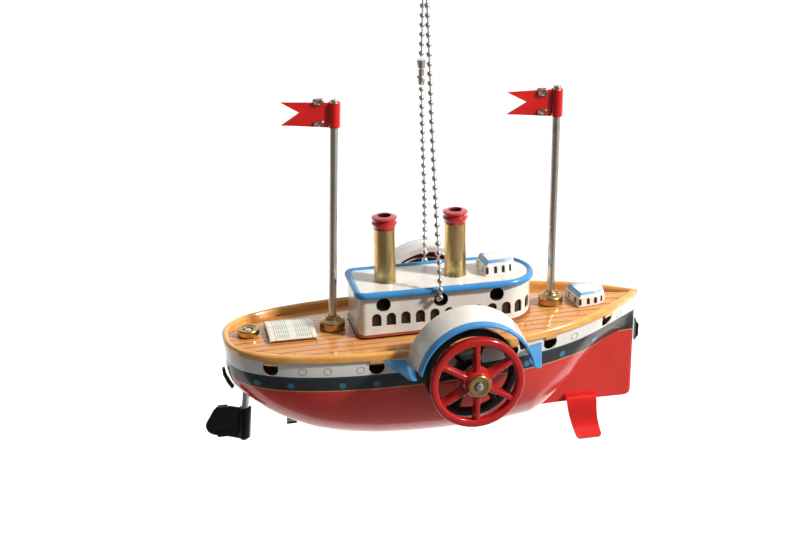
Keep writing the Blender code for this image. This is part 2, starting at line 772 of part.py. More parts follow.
def wheel(name, face_y, side, phase, rise, paint):
    """Cast wheel: rim, hub and six deep blades joined into one body."""
    y0 = face_y * side
    inward = (0.0, -side, 0.0)
    centre = (0.0, y0, AXLE_Z)
    inner = WHEEL_R - WHEEL_RIM
    rim = (
        (inner, 0.6), (inner + 0.6, 0.0), (WHEEL_R - 0.6, 0.0), (WHEEL_R, 0.6), (WHEEL_R, WHEEL_DEPTH),
        (inner, WHEEL_DEPTH),
    )
    made = ring_turned(name, rim, centre, inward, paint, 32)
    bore = AXLE_R + 0.1
    hub = ((bore, -rise), (HUB_R - 1.0, -rise), (HUB_R, 1.2), (HUB_R, 4.6), (bore, 4.6))
    parts = [ring_turned(name + "_hub_cutter", hub, centre, inward, None, 12)]
    for step in range(SPOKES):
        angle = math.radians(phase + 360.0 / SPOKES * step)
        out = Vector((math.cos(angle), 0.0, math.sin(angle)))
        across = Vector((-math.sin(angle), 0.0, math.cos(angle)))
        rings = []
        for reach, top, front, back, deep in (
            (HUB_R - 1.2, 0.35 - rise * 0.6, 1.0, 1.5, 4.4), (inner + 0.9, 0.35, 0.85, 1.2, 3.9),
        ):
            ring = []
            for s, depth in ((-front, top), (front, top), (back, deep), (-back, deep)):
                place = Vector(centre) + out * reach + across * s + Vector(inward) * depth
                ring.append(tuple(place))
            rings.append(ring)
        parts.append(loft(name + "_blade_cutter_%d" % step, rings, None))
    for piece in parts:
        join = made.modifiers.new("join", "BOOLEAN")
        join.operation = "UNION"
        join.solver = "EXACT"
        join.object = piece
    return made


def axle_set():
    rod = (
        (AXLE_R - 0.4, -AXLE_HALF), (AXLE_R, -AXLE_HALF + 0.4), (AXLE_R, AXLE_HALF - 0.4),
        (AXLE_R - 0.4, AXLE_HALF),
    )
    solid_turned("axle", rod, (0.0, 0.0, AXLE_Z), (0.0, 1.0, 0.0), "steel", 12)
    for label, side in (("starboard", -1.0), ("port", 1.0)):
        wheel("wheel_red_" + label, RED_FACE_Y, side, 30.0, HUB_RISE, "red_paint")
        wheel("wheel_black_" + label, BLACK_FACE_Y, side, 8.0, -0.6, "black_paint")
        washer = ((AXLE_R + 0.2, 0.0), (4.1, 0.0), (4.1, 0.7), (3.7, 1.0), (AXLE_R + 0.2, 1.0))
        start = (0.0, side * (RED_FACE_Y + HUB_RISE + 0.2), AXLE_Z)
        ring_turned("hub_washer_" + label, washer, start, (0.0, side, 0.0), "brass", 16)


def paddle_box(label, side):
    """Arched strip over the wheels with an inner flange and an outer ring."""
    grid = []
    steps = 22
    for step in range(steps + 1):
        angle = math.radians(BOX_ANGLES[0] + (BOX_ANGLES[1] - BOX_ANGLES[0]) * step / steps)
        row = []
        for y, radius, x, z in BOX_PROFILE:
            row.append((x + radius * math.cos(angle), side * y, z + radius * math.sin(angle)))
        grid.append(row)
    made = sheet("paddle_box_" + label, grid, TIN, "white_paint")
    box = bmesh.new()
    box.from_mesh(made.data)
    face = max(box.faces, key=lambda f: f.calc_center_median().z)
    if face.normal.z < 0.0:
        bmesh.ops.reverse_faces(box, faces=box.faces)
    box.to_mesh(made.data)
    box.free()
    return made


def sponson(label, side, end):
    """Blue five-cornered bracket from the foot of a paddle box back to the hull."""
    aft = end < 0
    if aft:
        corners = ((-21.2, 42.4), (-23.6, 41.8), (-30.2, 28.6), (-22.6, 28.9), (-20.6, 38.0))
    else:
        corners = ((22.2, 42.4), (24.4, 42.0), (29.2, 26.6), (23.8, 28.2), (20.8, 38.0))
    low = []
    high = []
    for x, y in corners:
        z = -2.5 - 2.6 * (y - 26.6) / 15.8
        low.append((x, side * y, z - TIN))
        high.append((x, side * y, z))
    return loft("sponson_" + ("aft_" if aft else "fore_") + label, [low, high], "blue_paint")


def skylight():
    """Arched printed plate on the after deck, with its ends folded down."""
    rows = []
    x0 = -68.4
    x1 = -51.0
    half = 9.0
    for x, fold in ((x0 - 0.1, 1.0), (x0, 0.1), (x1, 0.1), (x1 + 0.1, 1.0)):
        row = []
        for step in range(9):
            y = -half + 2.0 * half * step / 8.0
            z = 1.75 - 1.3 * (y / half) ** 2 - fold
            row.append((x, y, max(z, deck_z(x, y) + GAP + 0.5)))
        rows.append(row)
    made = sheet("skylight", rows, 0.4, "white_paint")
    box = bmesh.new()
    box.from_mesh(made.data)
    face = max(box.faces, key=lambda f: f.calc_center_median().z)
    if face.normal.z < 0.0:
        bmesh.ops.reverse_faces(box, faces=box.faces)
    box.to_mesh(made.data)
    box.free()
    return made


def rudder():
    top = Vector((ROD_TOP[0], 0.0, ROD_TOP[1]))
    low = Vector((ROD_LOW[0], 0.0, ROD_LOW[1]))
    axis = low - top
    length = axis.length
    rod = ((ROD_R - 0.7, -0.3), (ROD_R, 0.3), (ROD_R, length - 0.3), (ROD_R - 0.3, length))
    solid_turned("rudder_post", rod, top, axis, "steel", 12)
    outline = BLADE_OUTLINE
    span = (length - 13.4, length - 1.1)
    wrapped_plate("rudder_blade", outline, 1.3, top, axis, span, ROD_R + 0.8, ROD_R + 0.15, "black_paint")
    ground = deck_z(ROD_TOP[0], 0.0) + GAP + 0.15
    bore = ROD_R + 0.3
    top = ground + EYELET_H
    eyelet = (
        (bore, ground), (3.9, ground), (4.1, ground + 0.3), (4.1, top - 0.4), (3.7, top), (3.0, top),
        (2.6, top - 0.4), (bore, top - 0.4),
    )
    ring_turned("rudder_eyelet", eyelet, (ROD_TOP[0], 0.0, 0.0), (0.0, 0.0, 1.0), "brass", 14)


def foot_strap():
    """One strap through the fin: a leg to starboard and a short folded end to port."""
    middle = [(-y, z, a, f) for y, z, a, f in reversed(FOOT_PROFILE)] + list(FOOT_TAB[1:])
    count = len(middle)
    rings = []
    for k in range(count):
        y, z, aft, fore = middle[k]
        before = middle[max(0, k - 1)]
        after = middle[min(count - 1, k + 1)]
        run = Vector((0.0, after[0] - before[0], after[1] - before[1])).normalized()
        up = Vector((0.0, -run.z, run.y)) * (FOOT_TIN / 2.0)
        ring = []
        for x, sign in ((aft, 1.0), (fore, 1.0), (fore, -1.0), (aft, -1.0)):
            ring.append((x, y + sign * up.y, z + sign * up.z))
        rings.append(ring)
    return loft("foot_strap", rings, "red_paint")


def clips():
    """Bare and black crimp tabs at the stem, the stern and under the keel."""
    outline = ((75.3, -8.9), (75.9, -10.6), (76.6, -11.2), (76.6, -16.2), (75.9, -16.8), (75.3, -18.2))
    loft("stem_clip", plate_rings(outline, 2.0), "black_paint")
    outline = (
        (-84.6, -12.4), (-83.9, -15.6), (-82.0, -19.4), (-81.4, -20.2), (-82.4, -21.4), (-84.0, -18.8),
        (-85.4, -15.4), (-85.6, -13.0),
    )
    loft("stern_clip", plate_rings(outline, 1.6), "black_paint")
    for name, aft, fore, low in (("aft", -62.4, -58.6, -38.6), ("mid", -5.4, -1.8, -45.8)):
        outline = ((aft, bottom_z(aft) - 0.4), (aft, low), (fore, low), (fore, bottom_z(fore) - 0.4))
        loft("keel_tab_" + name, plate_rings(outline, 0.7), "black_paint")


def smooth_path(points, step):
    """Points at an even step along a rounded path through the given ones."""
    line = np.array(points)
    dense = []
    count = len(line)
    for k in range(count - 1):
        p0 = line[max(0, k - 1)]
        p1 = line[k]
        p2 = line[k + 1]
        p3 = line[min(count - 1, k + 2)]
        d01 = max(1e-6, np.linalg.norm(p1 - p0)) ** 0.5
        d12 = max(1e-6, np.linalg.norm(p2 - p1)) ** 0.5
        d23 = max(1e-6, np.linalg.norm(p3 - p2)) ** 0.5
        if k == 0:
            m1 = p2 - p1
        else:
            m1 = d12 * ((p1 - p0) / d01 - (p2 - p0) / (d01 + d12) + (p2 - p1) / d12)
        if k == count - 2:
            m2 = p2 - p1
        else:
            m2 = d12 * ((p2 - p1) / d12 - (p3 - p1) / (d12 + d23) + (p3 - p2) / d23)
        for t in np.linspace(0.0, 1.0, 24, endpoint=False):
            a = 2.0 * t ** 3 - 3.0 * t ** 2 + 1.0
            b = t ** 3 - 2.0 * t ** 2 + t
            c = -2.0 * t ** 3 + 3.0 * t ** 2
            d = t ** 3 - t ** 2
            dense.append(a * p1 + b * m1 + c * p2 + d * m2)
    dense.append(line[-1])
    dense = np.array(dense)
    gaps = np.linalg.norm(np.diff(dense, axis=0), axis=1)
    way = np.concatenate([[0.0], np.cumsum(gaps)])
    return dense, way


def chain():
    """The ball chain as one beaded tube: through the cabin, over the hook and down to its connector."""
    dense, way = smooth_path(CHAIN_PATH, 1.0)
    total = way[-1]
    balls = int(round(total / BALL_PITCH))
    pitch = total / balls
    beads = ((-0.31, LINK_R), (-0.14, BALL_R), (0.14, BALL_R), (0.31, LINK_R))
    places = []
    for ball in range(balls):
        for shift, radius in beads:
            places.append((pitch * (ball + 0.5 + shift), radius))
    sides = 5
    normal = Vector((1.0, 0.0, 0.0))
    rings = []
    for at, radius in places:
        spot = [float(np.interp(at, way, dense[:, k])) for k in range(3)]
        ahead = [float(np.interp(min(total, at + 0.3), way, dense[:, k])) for k in range(3)]
        behind = [float(np.interp(max(0.0, at - 0.3), way, dense[:, k])) for k in range(3)]
        run = (Vector(ahead) - Vector(behind)).normalized()
        normal = (normal - run * normal.dot(run)).normalized()
        other = run.cross(normal)
        ring = []
        for step in range(sides):
            angle = 2.0 * math.pi * step / sides
            place = Vector(spot) + normal * (radius * math.cos(angle)) + other * (radius * math.sin(angle))
            ring.append(tuple(place))
        rings.append(ring)
    loft("chain", rings, "steel")
    low = Vector(CHAIN_PATH[-1])
    high = Vector(CHAIN_PATH[0])
    run = (high - low).normalized()
    length = (high - low).length
    r = CONNECTOR_R
    sleeve = (
        (r - 0.7, GAP), (r, GAP + 0.6), (r, length - GAP - 0.6), (r - 0.7, length - GAP),
    )
    solid_turned("chain_connector", sleeve, low, run, "steel", 16)


def build():
    paints()
    cutter = tab_cutter()
    hull_half("hull_starboard", -1.0, cutter)
    hull_half("hull_port", 1.0, cutter)
    deck_tray()
    cabin()
    roof()
    for row in HOUSES:
        house(row)
    for label, x in FUNNELS:
        funnel(label, x)
    for label, x, lean, top in MASTS:
        mast(label, x, lean, top)
    for row in FLAGS:
        flag(row)
    for label, side in (("starboard", -1.0), ("port", 1.0)):
        paddle_box(label, side)
        sponson(label, side, -1)
        sponson(label, side, 1)
    axle_set()
    skylight()
    rudder()
    foot_strap()
    clips()
    chain()


build()
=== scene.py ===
"""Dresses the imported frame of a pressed-tin toy paddle steamer that hangs from a ball chain.

Every shape here is worked out in millimetres in the ship's own frame: x forward from the paddle
axle, y to port of the centre plane, z up from the middle of the deck.
"""
import math

import bmesh
import bpy
import numpy as np
from bpy.props import FloatProperty, FloatVectorProperty, PointerProperty
from mathutils import Matrix, Vector


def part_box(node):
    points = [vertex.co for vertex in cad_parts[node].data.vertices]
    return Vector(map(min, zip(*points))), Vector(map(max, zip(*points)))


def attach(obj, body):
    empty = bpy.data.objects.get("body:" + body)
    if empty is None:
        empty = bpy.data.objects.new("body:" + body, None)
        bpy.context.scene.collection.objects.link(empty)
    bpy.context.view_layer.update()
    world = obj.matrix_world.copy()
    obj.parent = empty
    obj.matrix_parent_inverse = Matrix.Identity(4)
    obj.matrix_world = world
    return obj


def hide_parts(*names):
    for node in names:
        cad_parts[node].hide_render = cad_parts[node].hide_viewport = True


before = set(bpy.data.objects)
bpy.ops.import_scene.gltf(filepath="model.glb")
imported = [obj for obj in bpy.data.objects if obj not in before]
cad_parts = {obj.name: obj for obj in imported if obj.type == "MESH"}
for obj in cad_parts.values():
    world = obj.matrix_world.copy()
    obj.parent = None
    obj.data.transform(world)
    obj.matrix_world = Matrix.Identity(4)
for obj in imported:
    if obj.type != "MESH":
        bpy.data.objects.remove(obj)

bl_info = {
    "name": "Tin paddle steamer",
    "version": (1, 0, 0),
    "blender": (4, 5, 0),
    "location": "View3D > Sidebar > Steamer",
    "description": "Dresses the frame of a pressed-tin toy paddle steamer",
    "category": "Object",
}

# One millimetre in metres, and one metre in millimetres.
MM = 0.001
METRE = 1000.0
AHEAD = np.array((1.0, 0.0, 0.0))
UP = np.array((0.0, 0.0, 1.0))
SIDES = (("starboard", -1.0), ("port", 1.0))

# The hook under the chain's top bend, in ship millimetres. It is the world origin.
HANG = np.array((-8.2, 0.0, 128.0))

# Hull plan, the rim's height as a quadratic in x, and the bottom and the fin's crease as rows of x, z.
STERN_X = -84.8
STEM_X = 75.8
HALF_BEAM = 28.3
SHEER = (0.3, 0.022, 0.00026)
STERN_CURVE_X = -12.0
STERN_POWER = 2.6
BOW_POWER = 2.55
HULL_INSET = 0.8
HULL_DROP = 1.1
SEAM_HALF = 0.15
FIN_HALF = 0.65
BOTTOM_LINE = (
    (-84.1, -11.0), (-83.2, -15.0), (-81.4, -18.8), (-78.0, -22.3), (-74.4, -25.4), (-70.0, -29.0),
    (-61.0, -34.3), (-51.8, -38.2), (-40.2, -41.2), (-25.0, -43.2), (-7.0, -43.9), (15.0, -43.3),
    (30.0, -42.3), (40.0, -41.7), (56.0, -41.4), (71.5, -41.5), (74.2, -40.4), (75.0, -38.0),
)
CREASE_LINE = (
    (30.0, -42.3), (35.0, -40.0), (39.4, -37.0), (44.3, -33.2), (48.0, -29.3), (57.0, -20.5),
    (65.5, -15.0), (73.0, -11.3), (75.0, -10.4),
)

# Deck tray; its folded tabs as x and length, and the round holes in the hull for them.
RIM_WIDTH = 2.4
RIM_TIN = 0.35
SKIRT = 2.8
DECK_DROP = 3.0
DECK_CROWN = 2.3
DECK_TABS = ((-70.0, 4.2), (-32.5, 5.0), (17.5, 4.6), (33.4, 4.6), (60.0, 4.2))
TAB_HOLE_R = 2.9
TAB_HOLE_DROP = 5.8
AXLE_HOLE_R = 1.9

# Printed ports: x along the hull. Teal discs and grey rings: depth under the rim and radii.
TEAL_PORTS = (-74.6, -63.0, -44.8, -32.5, 24.0, 39.0, 54.1)
TEAL_DEPTH = 12.45
TEAL_R = 1.25
GREY_PORTS = (-58.8, -50.0, -38.3, 24.5, 44.0, 66.0)
GREY_DEPTH = 6.5
GREY_R = 0.95
INK_LIFT = 0.06

# Cabin and roof plans: aft x, fore centre x, half width and radius of the aft corners.
# A window is its half width, sill and head; a round hole its height and radius.
CABIN = (-36.0, 19.2, 12.4, 3.0)
CABIN_TOP = 14.8
WINDOW_PITCH = 5.45
WINDOW_X = -29.4 + WINDOW_PITCH * np.arange(9)
WINDOW = (1.75, 3.4, 8.4)
BOW_WINDOWS = (2.5, 1.5, 0.5)
CABIN_HOLES = (-26.8, -5.3, 15.9)
CABIN_HOLE_Z = 11.7
CABIN_HOLE_R = 2.7
ROOF_Z = 16.4
ROOF_PLAN = (-37.2, 18.8, 14.2, 4.3)

# Houses: aft x, fore centre x, half width, base z, wall height, full height, turn in degrees, shift to port.
HOUSES = {
    "wheelhouse": (12.5, 20.6, 5.5, 16.7, 3.8, 5.7, 5.0, 0.0),
    "deckhouse": (48.3, 55.6, 6.3, 1.1, 4.0, 5.4, 7.0, -1.2),
}

# Their printed windows: distance along a side from the aft corner, distance from the middle of the aft wall,
# height of the middle, and half width, sill and spring of the arch from there.
HOUSE_WINDOWS = (1.0, 4.35, 7.4, 10.5)
HOUSE_AFT_WINDOW = 2.7
HOUSE_WINDOW_Z = 1.95
HOUSE_ARCH = (0.62, 1.3, 0.7)

# Funnels: x. Masts: foot x, lean and top z.
# Flags: tip x, notch x, then low and high z at the mast and low and high z at the tips.
FUNNELS = {"aft": -23.6, "fore": 3.1}
FUNNEL_TOP = 36.8
CAP_TOP = 41.9
MASTS = {"aft": (-43.9, 0.037, 86.6), "fore": (40.6, 0.006, 86.2)}
FLAGS = {
    "aft": (-60.0, -53.4, 76.4, 85.4, 78.3, 86.6),
    "fore": (22.1, 29.6, 74.8, 84.8, 76.6, 84.8),
}

# Crimp tabs of the flags: x, z and half height.
FLAG_TABS = {
    "aft": ((-46.5, 85.9, 1.15), (-46.6, 78.1, 1.1)),
    "fore": ((35.4, 84.0, 1.5), (35.4, 76.8, 1.0)),
}

# Wheels and axle, in the ship's frame.
AXLE_Z = -7.4
AXLE_HALF = 49.0
WHEEL_R = 17.1
WHEEL_RIM = 2.8
RED_FACE_Y = 45.9
BLACK_FACE_Y = 37.2
HUB_RISE = 1.2

# Paddle boxes: y, radius, centre x and centre z along the section, and the first and last angle.
BOX_PROFILE = (
    (29.9, 20.1, 0.1, -6.0), (29.9, 22.0, 0.1, -6.0), (30.3, 22.4, 0.1, -6.0), (41.2, 21.7, 0.3, -6.5),
    (44.6, 21.4, 0.5, -7.0), (44.6, 20.6, 0.5, -7.0),
)
BOX_ANGLES = (8.0, 168.5)
BOX_BLUE_Y = 42.3
BOX_TIN = 0.5

# Brackets: their corners as x and distance from the centre plane, from the box's foot round to the hull.
SPONSONS = {
    "aft": ((-21.2, 42.4), (-23.6, 41.8), (-30.2, 28.6), (-22.6, 28.9), (-20.6, 38.0)),
    "fore": ((22.2, 42.4), (24.4, 42.0), (29.2, 26.6), (23.8, 28.2), (20.8, 38.0)),
}
DIMPLE = (25.4, 31.0)

# The rudder's rod from end to end, and the chain's middle line, as x, y, z.
ROD_TOP = np.array((-75.2, 0.0, 1.6))
ROD_LOW = np.array((-78.9, 0.0, -43.2))
CHAIN_PATH = (
    (-8.78, 2.55, 98.6), (-8.4, 1.85, 116.0), (-8.2, 1.75, 126.2), (-8.2, 1.4, 127.7), (-8.2, 0.0, 128.9),
    (-8.2, -1.4, 127.7), (-8.2, -1.75, 126.2), (-7.8, -2.8, 117.0), (-7.0, -6.6, 72.0), (-6.6, -11.6, 40.0),
    (-6.4, -15.5, 18.5), (-6.3, -15.7, 15.4), (-6.2, -14.2, 13.0), (-6.1, -11.0, 12.0), (-6.0, -6.0, 11.7),
    (-5.9, 0.0, 11.6), (-5.7, 6.0, 11.7), (-5.5, 11.0, 12.0), (-5.2, 14.2, 13.0), (-4.9, 15.7, 15.4),
    (-4.9, 15.5, 18.5), (-6.0, 10.8, 44.0), (-7.9, 5.7, 76.0), (-8.6, 3.6, 88.6),
)
BALL_PITCH = 3.4

# The key light and the floor, in metres in the world's frame.
KEY_PLACE = (0.80, -0.52, 0.62)
KEY_AIM = (-0.005, 0.0, -0.12)
KEY_SIZE = 0.13
KEY_POWER = 19.0
FLOOR_Z = -0.30

# The room's dark and bright directions. Each has a step: where it starts and ends on the cosine of the angle
# to the direction, and the level before and after.
DARK_SIDE = (-0.80, -0.58, 0.08)
DARK_STEP = (-0.15, 0.65, 0.5, 0.13)
GLOW_SIDE = (0.46, 0.88, 0.1)
GLOW_STEP = (0.4, 0.9, 0.0, 0.45)

# Camera: azimuth, elevation and roll in degrees, aim in ship millimetres, distance in metres, lens.
CAMERA_TURN = (-11.9, 21.5, -0.69)
CAMERA_AIM = (-17.9, 0.0, 21.2)
CAMERA_REACH = 0.555
CAMERA_LENS = 67.5

# Colours that no property holds.
HULL_RED = (0.74, 0.052, 0.040)
THIN_BLUE = (0.02, 0.075, 0.16)
CREAM = (0.80, 0.76, 0.66)


class SteamerSizes(bpy.types.PropertyGroup):
    """Sizes a user may change before the pieces are made."""

    tin: FloatProperty(
        name="Tin", description="Thickness of the pressed hull and cabin tin", default=0.0005, unit="LENGTH",
    )
    rim_roll: FloatProperty(
        name="Rim roll", description="Radius of the rounded top of the deck rim", default=0.0011,
        unit="LENGTH",
    )
    plank: FloatProperty(
        name="Plank", description="Width of one printed deck plank", default=0.0031, unit="LENGTH",
    )
    white_line: FloatProperty(
        name="White band", description="Depth below the rim where the white band ends", default=0.0087,
        unit="LENGTH",
    )
    slate_line: FloatProperty(
        name="Slate band", description="Depth below the rim where the slate band ends", default=0.0145,
        unit="LENGTH",
    )
    ball: FloatProperty(
        name="Ball", description="Radius of one ball of the hanging chain", default=0.00115, unit="LENGTH",
    )


class SteamerColours(bpy.types.PropertyGroup):
    """Paint and metal colours, as linear values."""

    red: FloatVectorProperty(
        name="Red", description="Hull and wheel enamel", subtype="COLOR", default=(0.50, 0.016, 0.014),
    )
    white: FloatVectorProperty(
        name="White", description="Cabin and band enamel", subtype="COLOR", default=(0.83, 0.80, 0.75),
    )
    blue: FloatVectorProperty(
        name="Blue", description="Roof and bracket enamel", subtype="COLOR", default=(0.050, 0.285, 0.63),
    )
    slate: FloatVectorProperty(
        name="Slate", description="Band above the red hull", subtype="COLOR", default=(0.030, 0.030, 0.032),
    )
    deck: FloatVectorProperty(
        name="Deck", description="Printed planks", subtype="COLOR", default=(0.80, 0.37, 0.11),
    )
    seam: FloatVectorProperty(
        name="Plank seam", description="Lines between the planks", subtype="COLOR",
        default=(0.33, 0.085, 0.02),
    )
    gold: FloatVectorProperty(
        name="Gold line", description="Line under the slate band", subtype="COLOR",
        default=(0.62, 0.36, 0.14),
    )


def colour(name):
    """One of the colours, as a tuple."""
    return tuple(getattr(bpy.context.scene.steamer_colours, name))


def size(name):
    """One of the sizes, in millimetres."""
    return getattr(bpy.context.scene.steamer_sizes, name) * METRE


# Materials


class Nodes:
    """Short calls for a tree's nodes. A value is a plain number or colour, or another node's output."""

    def __init__(self, tree):
        self.tree = tree

    def feed(self, place, value):
        """Links an output to a socket, or puts a plain value there, with an alpha where it has one."""
        if isinstance(value, bpy.types.NodeSocket):
            self.tree.links.new(value, place)
        elif isinstance(value, tuple):
            place.default_value = value + (1.0,) * (len(place.default_value) - len(value))
        else:
            place.default_value = value

    def node(self, kind, sockets, **settings):
        """A new node with its settings; sockets maps a socket's index or name to its value."""
        made = self.tree.nodes.new("ShaderNode" + kind)
        for name, setting in settings.items():
            setattr(made, name, setting)
        for place, value in sockets.items():
            self.feed(made.inputs[place], value)
        return made

    def math(self, operation, *values):
        return self.node("Math", dict(enumerate(values)), operation=operation).outputs[0]

    def step(self, value, low, high, first=0.0, last=1.0):
        """first below low, last above high and smooth between."""
        sockets = {0: value, 1: low, 2: high, 3: first, 4: last}
        return self.node("MapRange", sockets, interpolation_type="SMOOTHSTEP").outputs[0]


class Shader(Nodes):
    """A Principled material whose patterns are laid on Object coordinates."""

    def __init__(self, name, base, metallic=0.0, roughness=0.3, coat=0.0, level=0.5):
        self.made = bpy.data.materials.new(name)
        self.made.use_nodes = True
        super().__init__(self.made.node_tree)
        self.out = self.tree.nodes["Principled BSDF"]
        self.set("Base Color", base)
        self.set("Metallic", metallic)
        self.set("Roughness", roughness)
        self.set("Coat Weight", coat)
        self.set("Specular IOR Level", level)
        self.set("Coat Roughness", 0.04)
        self.where = self.node("TexCoord", {}).outputs["Object"]

    def set(self, socket, value):
        self.feed(self.out.inputs[socket], value)

    def mix(self, share, first, second):
        return self.node("Mix", {0: share, 6: first, 7: second}, data_type="RGBA").outputs[2]

    def axes(self):
        """x, y and z of the surface in ship millimetres."""
        sockets = {0: self.where, "Scale": (METRE, METRE, METRE), "Location": tuple(HANG)}
        return tuple(self.node("SeparateXYZ", {0: self.node("Mapping", sockets).outputs[0]}).outputs)

    def noise(self, scale, stretch=(1.0, 1.0, 1.0), detail=3.0, rough=0.55):
        """Noise on the surface; scale counts waves per metre."""
        turn = self.node("Mapping", {0: self.where, "Scale": stretch}).outputs[0]
        sockets = {"Vector": turn, "Scale": scale, "Detail": detail, "Roughness": rough}
        return self.node("TexNoise", sockets).outputs["Fac"]

    def below(self, value, low, high):
        """1 below low, 0 above high and smooth between."""
        return self.math("SUBTRACT", 1.0, self.step(value, low, high))

    def band(self, value, low, high, soft=0.08):
        """1 between low and high."""
        rise = self.step(value, low - soft, low + soft)
        fall = self.step(value, high - soft, high + soft)
        return self.math("SUBTRACT", rise, fall)

    def near(self, value, reach, soft):
        """1 where the value is within reach of nought."""
        return self.band(self.math("ABSOLUTE", value), -1.0, reach, soft)

    def span(self, value, low, high):
        return self.node("MapRange", {0: value, 3: low, 4: high}).outputs[0]

    def bump(self, height, strength, distance=0.0001):
        sockets = {"Strength": strength, "Distance": distance, "Height": height}
        self.set("Normal", self.node("Bump", sockets).outputs[0])

    def drop(self):
        """x, z and the depth below the rim line, whose height is a quadratic in x."""
        x, y, z = self.axes()
        rim = self.math("MULTIPLY_ADD", x, SHEER[2], SHEER[1])
        rim = self.math("MULTIPLY_ADD", rim, x, SHEER[0])
        return x, z, self.math("SUBTRACT", rim, z)


def shade(base, factor):
    """A colour times a factor."""
    return tuple(c * factor for c in base)


def enamel(name, base, roughness, chips=None, peel=0.12, coat=0.3, level=0.4):
    """Baked enamel: slow colour drift, fine orange peel, a clear coat and a few worn specks.

    The base is a colour or the name of its property.
    """
    base = colour(base) if isinstance(base, str) else base
    made = Shader(name, base, 0.0, roughness, coat, level)
    drift = made.noise(70.0, detail=2.0)
    tone = made.mix(made.step(drift, 0.35, 0.7), base, shade(base, 0.86))
    if chips:
        specks = made.step(made.noise(420.0, detail=5.0, rough=0.7), 0.735, 0.76)
        tone = made.mix(specks, tone, chips)
    made.set("Base Color", tone)
    made.set("Roughness", made.span(made.noise(160.0), roughness * 0.7, roughness * 1.4))
    made.bump(made.noise(520.0, detail=2.0), peel)
    return made.made


def hull_print():
    """Red under a gold line, a slate band, a thin blue line and a white band, all parallel to the rim.

    The slate band gets 1.9 mm deeper between x 38 and 62; a dark pointed patch along the stem is painted
    shade where the flare curves under.
    """
    made = Shader("hull_print", colour("red"), 0.0, 0.18, 0.12, 0.3)
    x, z, depth = made.drop()
    low = made.math("MULTIPLY_ADD", made.step(x, 38.0, 62.0), 1.9, size("slate_line"))
    red = made.mix(made.step(made.noise(60.0, detail=2.0), 0.3, 0.7), HULL_RED, shade(HULL_RED, 0.9))
    slate = made.mix(made.noise(900.0, detail=1.0), colour("slate"), shade(colour("slate"), 1.5))
    under = made.math("SUBTRACT", depth, low)
    tone = made.mix(made.step(under, 0.36, 0.44), slate, red)
    tone = made.mix(made.band(under, 0.0, 0.4, 0.06), tone, colour("gold"))
    high = size("white_line")
    tone = made.mix(made.below(depth, high + 0.5, high + 0.65), tone, THIN_BLUE)
    white = made.mix(made.noise(90.0), colour("white"), shade(colour("white"), 0.9))
    tone = made.mix(made.below(depth, high - 0.05, high + 0.08), tone, white)
    # Painted shade: a dark pointed patch along the stem, where the bow's flare curves under.
    lean = made.math("SUBTRACT", x, made.math("MULTIPLY_ADD", z, 0.5625, 74.46))
    painted_stem_shade = made.below(made.math("ABSOLUTE", lean), 0.45, 0.85)
    painted_stem_shade = made.math("MULTIPLY", painted_stem_shade, made.band(z, -13.0, -6.7, 0.35))
    tone = made.mix(made.math("MULTIPLY", painted_stem_shade, 0.85), tone, (0.010, 0.014, 0.020))
    scuffs = made.noise(300.0, (1.0, 1.0, 2.5), 6.0, 0.7)
    tone = made.mix(made.step(scuffs, 0.71, 0.75), tone, (0.62, 0.55, 0.5))
    made.set("Base Color", tone)
    made.set("Roughness", made.span(made.noise(140.0), 0.1, 0.24))
    made.bump(made.noise(380.0, detail=2.0), 0.1)
    return made.made


def deck_print():
    """Printed planks: straight seams along the ship, butts staggered 34 mm apart, grain and dark streaks."""
    made = Shader("deck_print", colour("deck"), 0.0, 0.2, 0.5)
    x, y, z = made.axes()
    pitch = 34.0
    lane = made.math("DIVIDE", y, size("plank"))
    row = made.math("FLOOR", lane)
    seam = made.math("SUBTRACT", 1.0, made.band(made.math("FRACT", lane), 0.1, 0.9, 0.05))
    shift = made.math("MULTIPLY", made.math("FRACT", made.math("MULTIPLY", row, 0.37)), pitch)
    butt = made.math("FRACT", made.math("DIVIDE", made.math("ADD", x, shift), pitch))
    line = made.math("MAXIMUM", seam, made.below(butt, 0.004, 0.009))
    grain = made.noise(260.0, (1.0, 9.0, 1.0), 4.0)
    tone = made.mix(made.step(grain, 0.3, 0.75), colour("deck"), shade(colour("deck"), 0.78))
    streak = made.step(made.noise(330.0, (0.35, 12.0, 1.0), 3.0), 0.62, 0.70)
    tone = made.mix(made.math("MULTIPLY", streak, 0.45), tone, colour("seam"))
    tone = made.mix(made.math("MULTIPLY", line, 0.75), tone, colour("seam"))
    made.set("Base Color", tone)
    made.set("Roughness", made.span(made.noise(200.0), 0.12, 0.26))
    made.bump(made.noise(420.0, detail=2.0), 0.1)
    return made.made


def rim_print():
    """Golden orange of the rim, drifting slowly along it."""
    made = Shader("rim_print", colour("deck"), 0.0, 0.2, 0.8)
    drift = made.step(made.noise(110.0, (1.0, 3.0, 3.0)), 0.35, 0.7)
    made.set("Base Color", made.mix(drift, (0.88, 0.44, 0.11), (0.76, 0.34, 0.08)))
    made.set("Roughness", made.span(made.noise(200.0), 0.14, 0.3))
    made.bump(made.noise(420.0, detail=2.0), 0.12)
    return made.made


def metal(name, base, dark, roughness, stretch, scale=900.0):
    """Bare metal: fine tool lines along or round the piece and thin darker tarnish."""
    made = Shader(name, base, 1.0, roughness)
    lines = made.noise(scale, stretch, 4.0, 0.6)
    cloud = made.noise(130.0, detail=5.0, rough=0.65)
    tone = made.mix(made.step(lines, 0.35, 0.7), base, shade(base, 0.85))
    tone = made.mix(made.step(cloud, 0.55, 0.8), tone, dark)
    made.set("Base Color", tone)
    made.set("Roughness", made.span(cloud, roughness * 0.7, roughness * 1.5))
    made.bump(lines, 0.12, 0.00005)
    return made.made


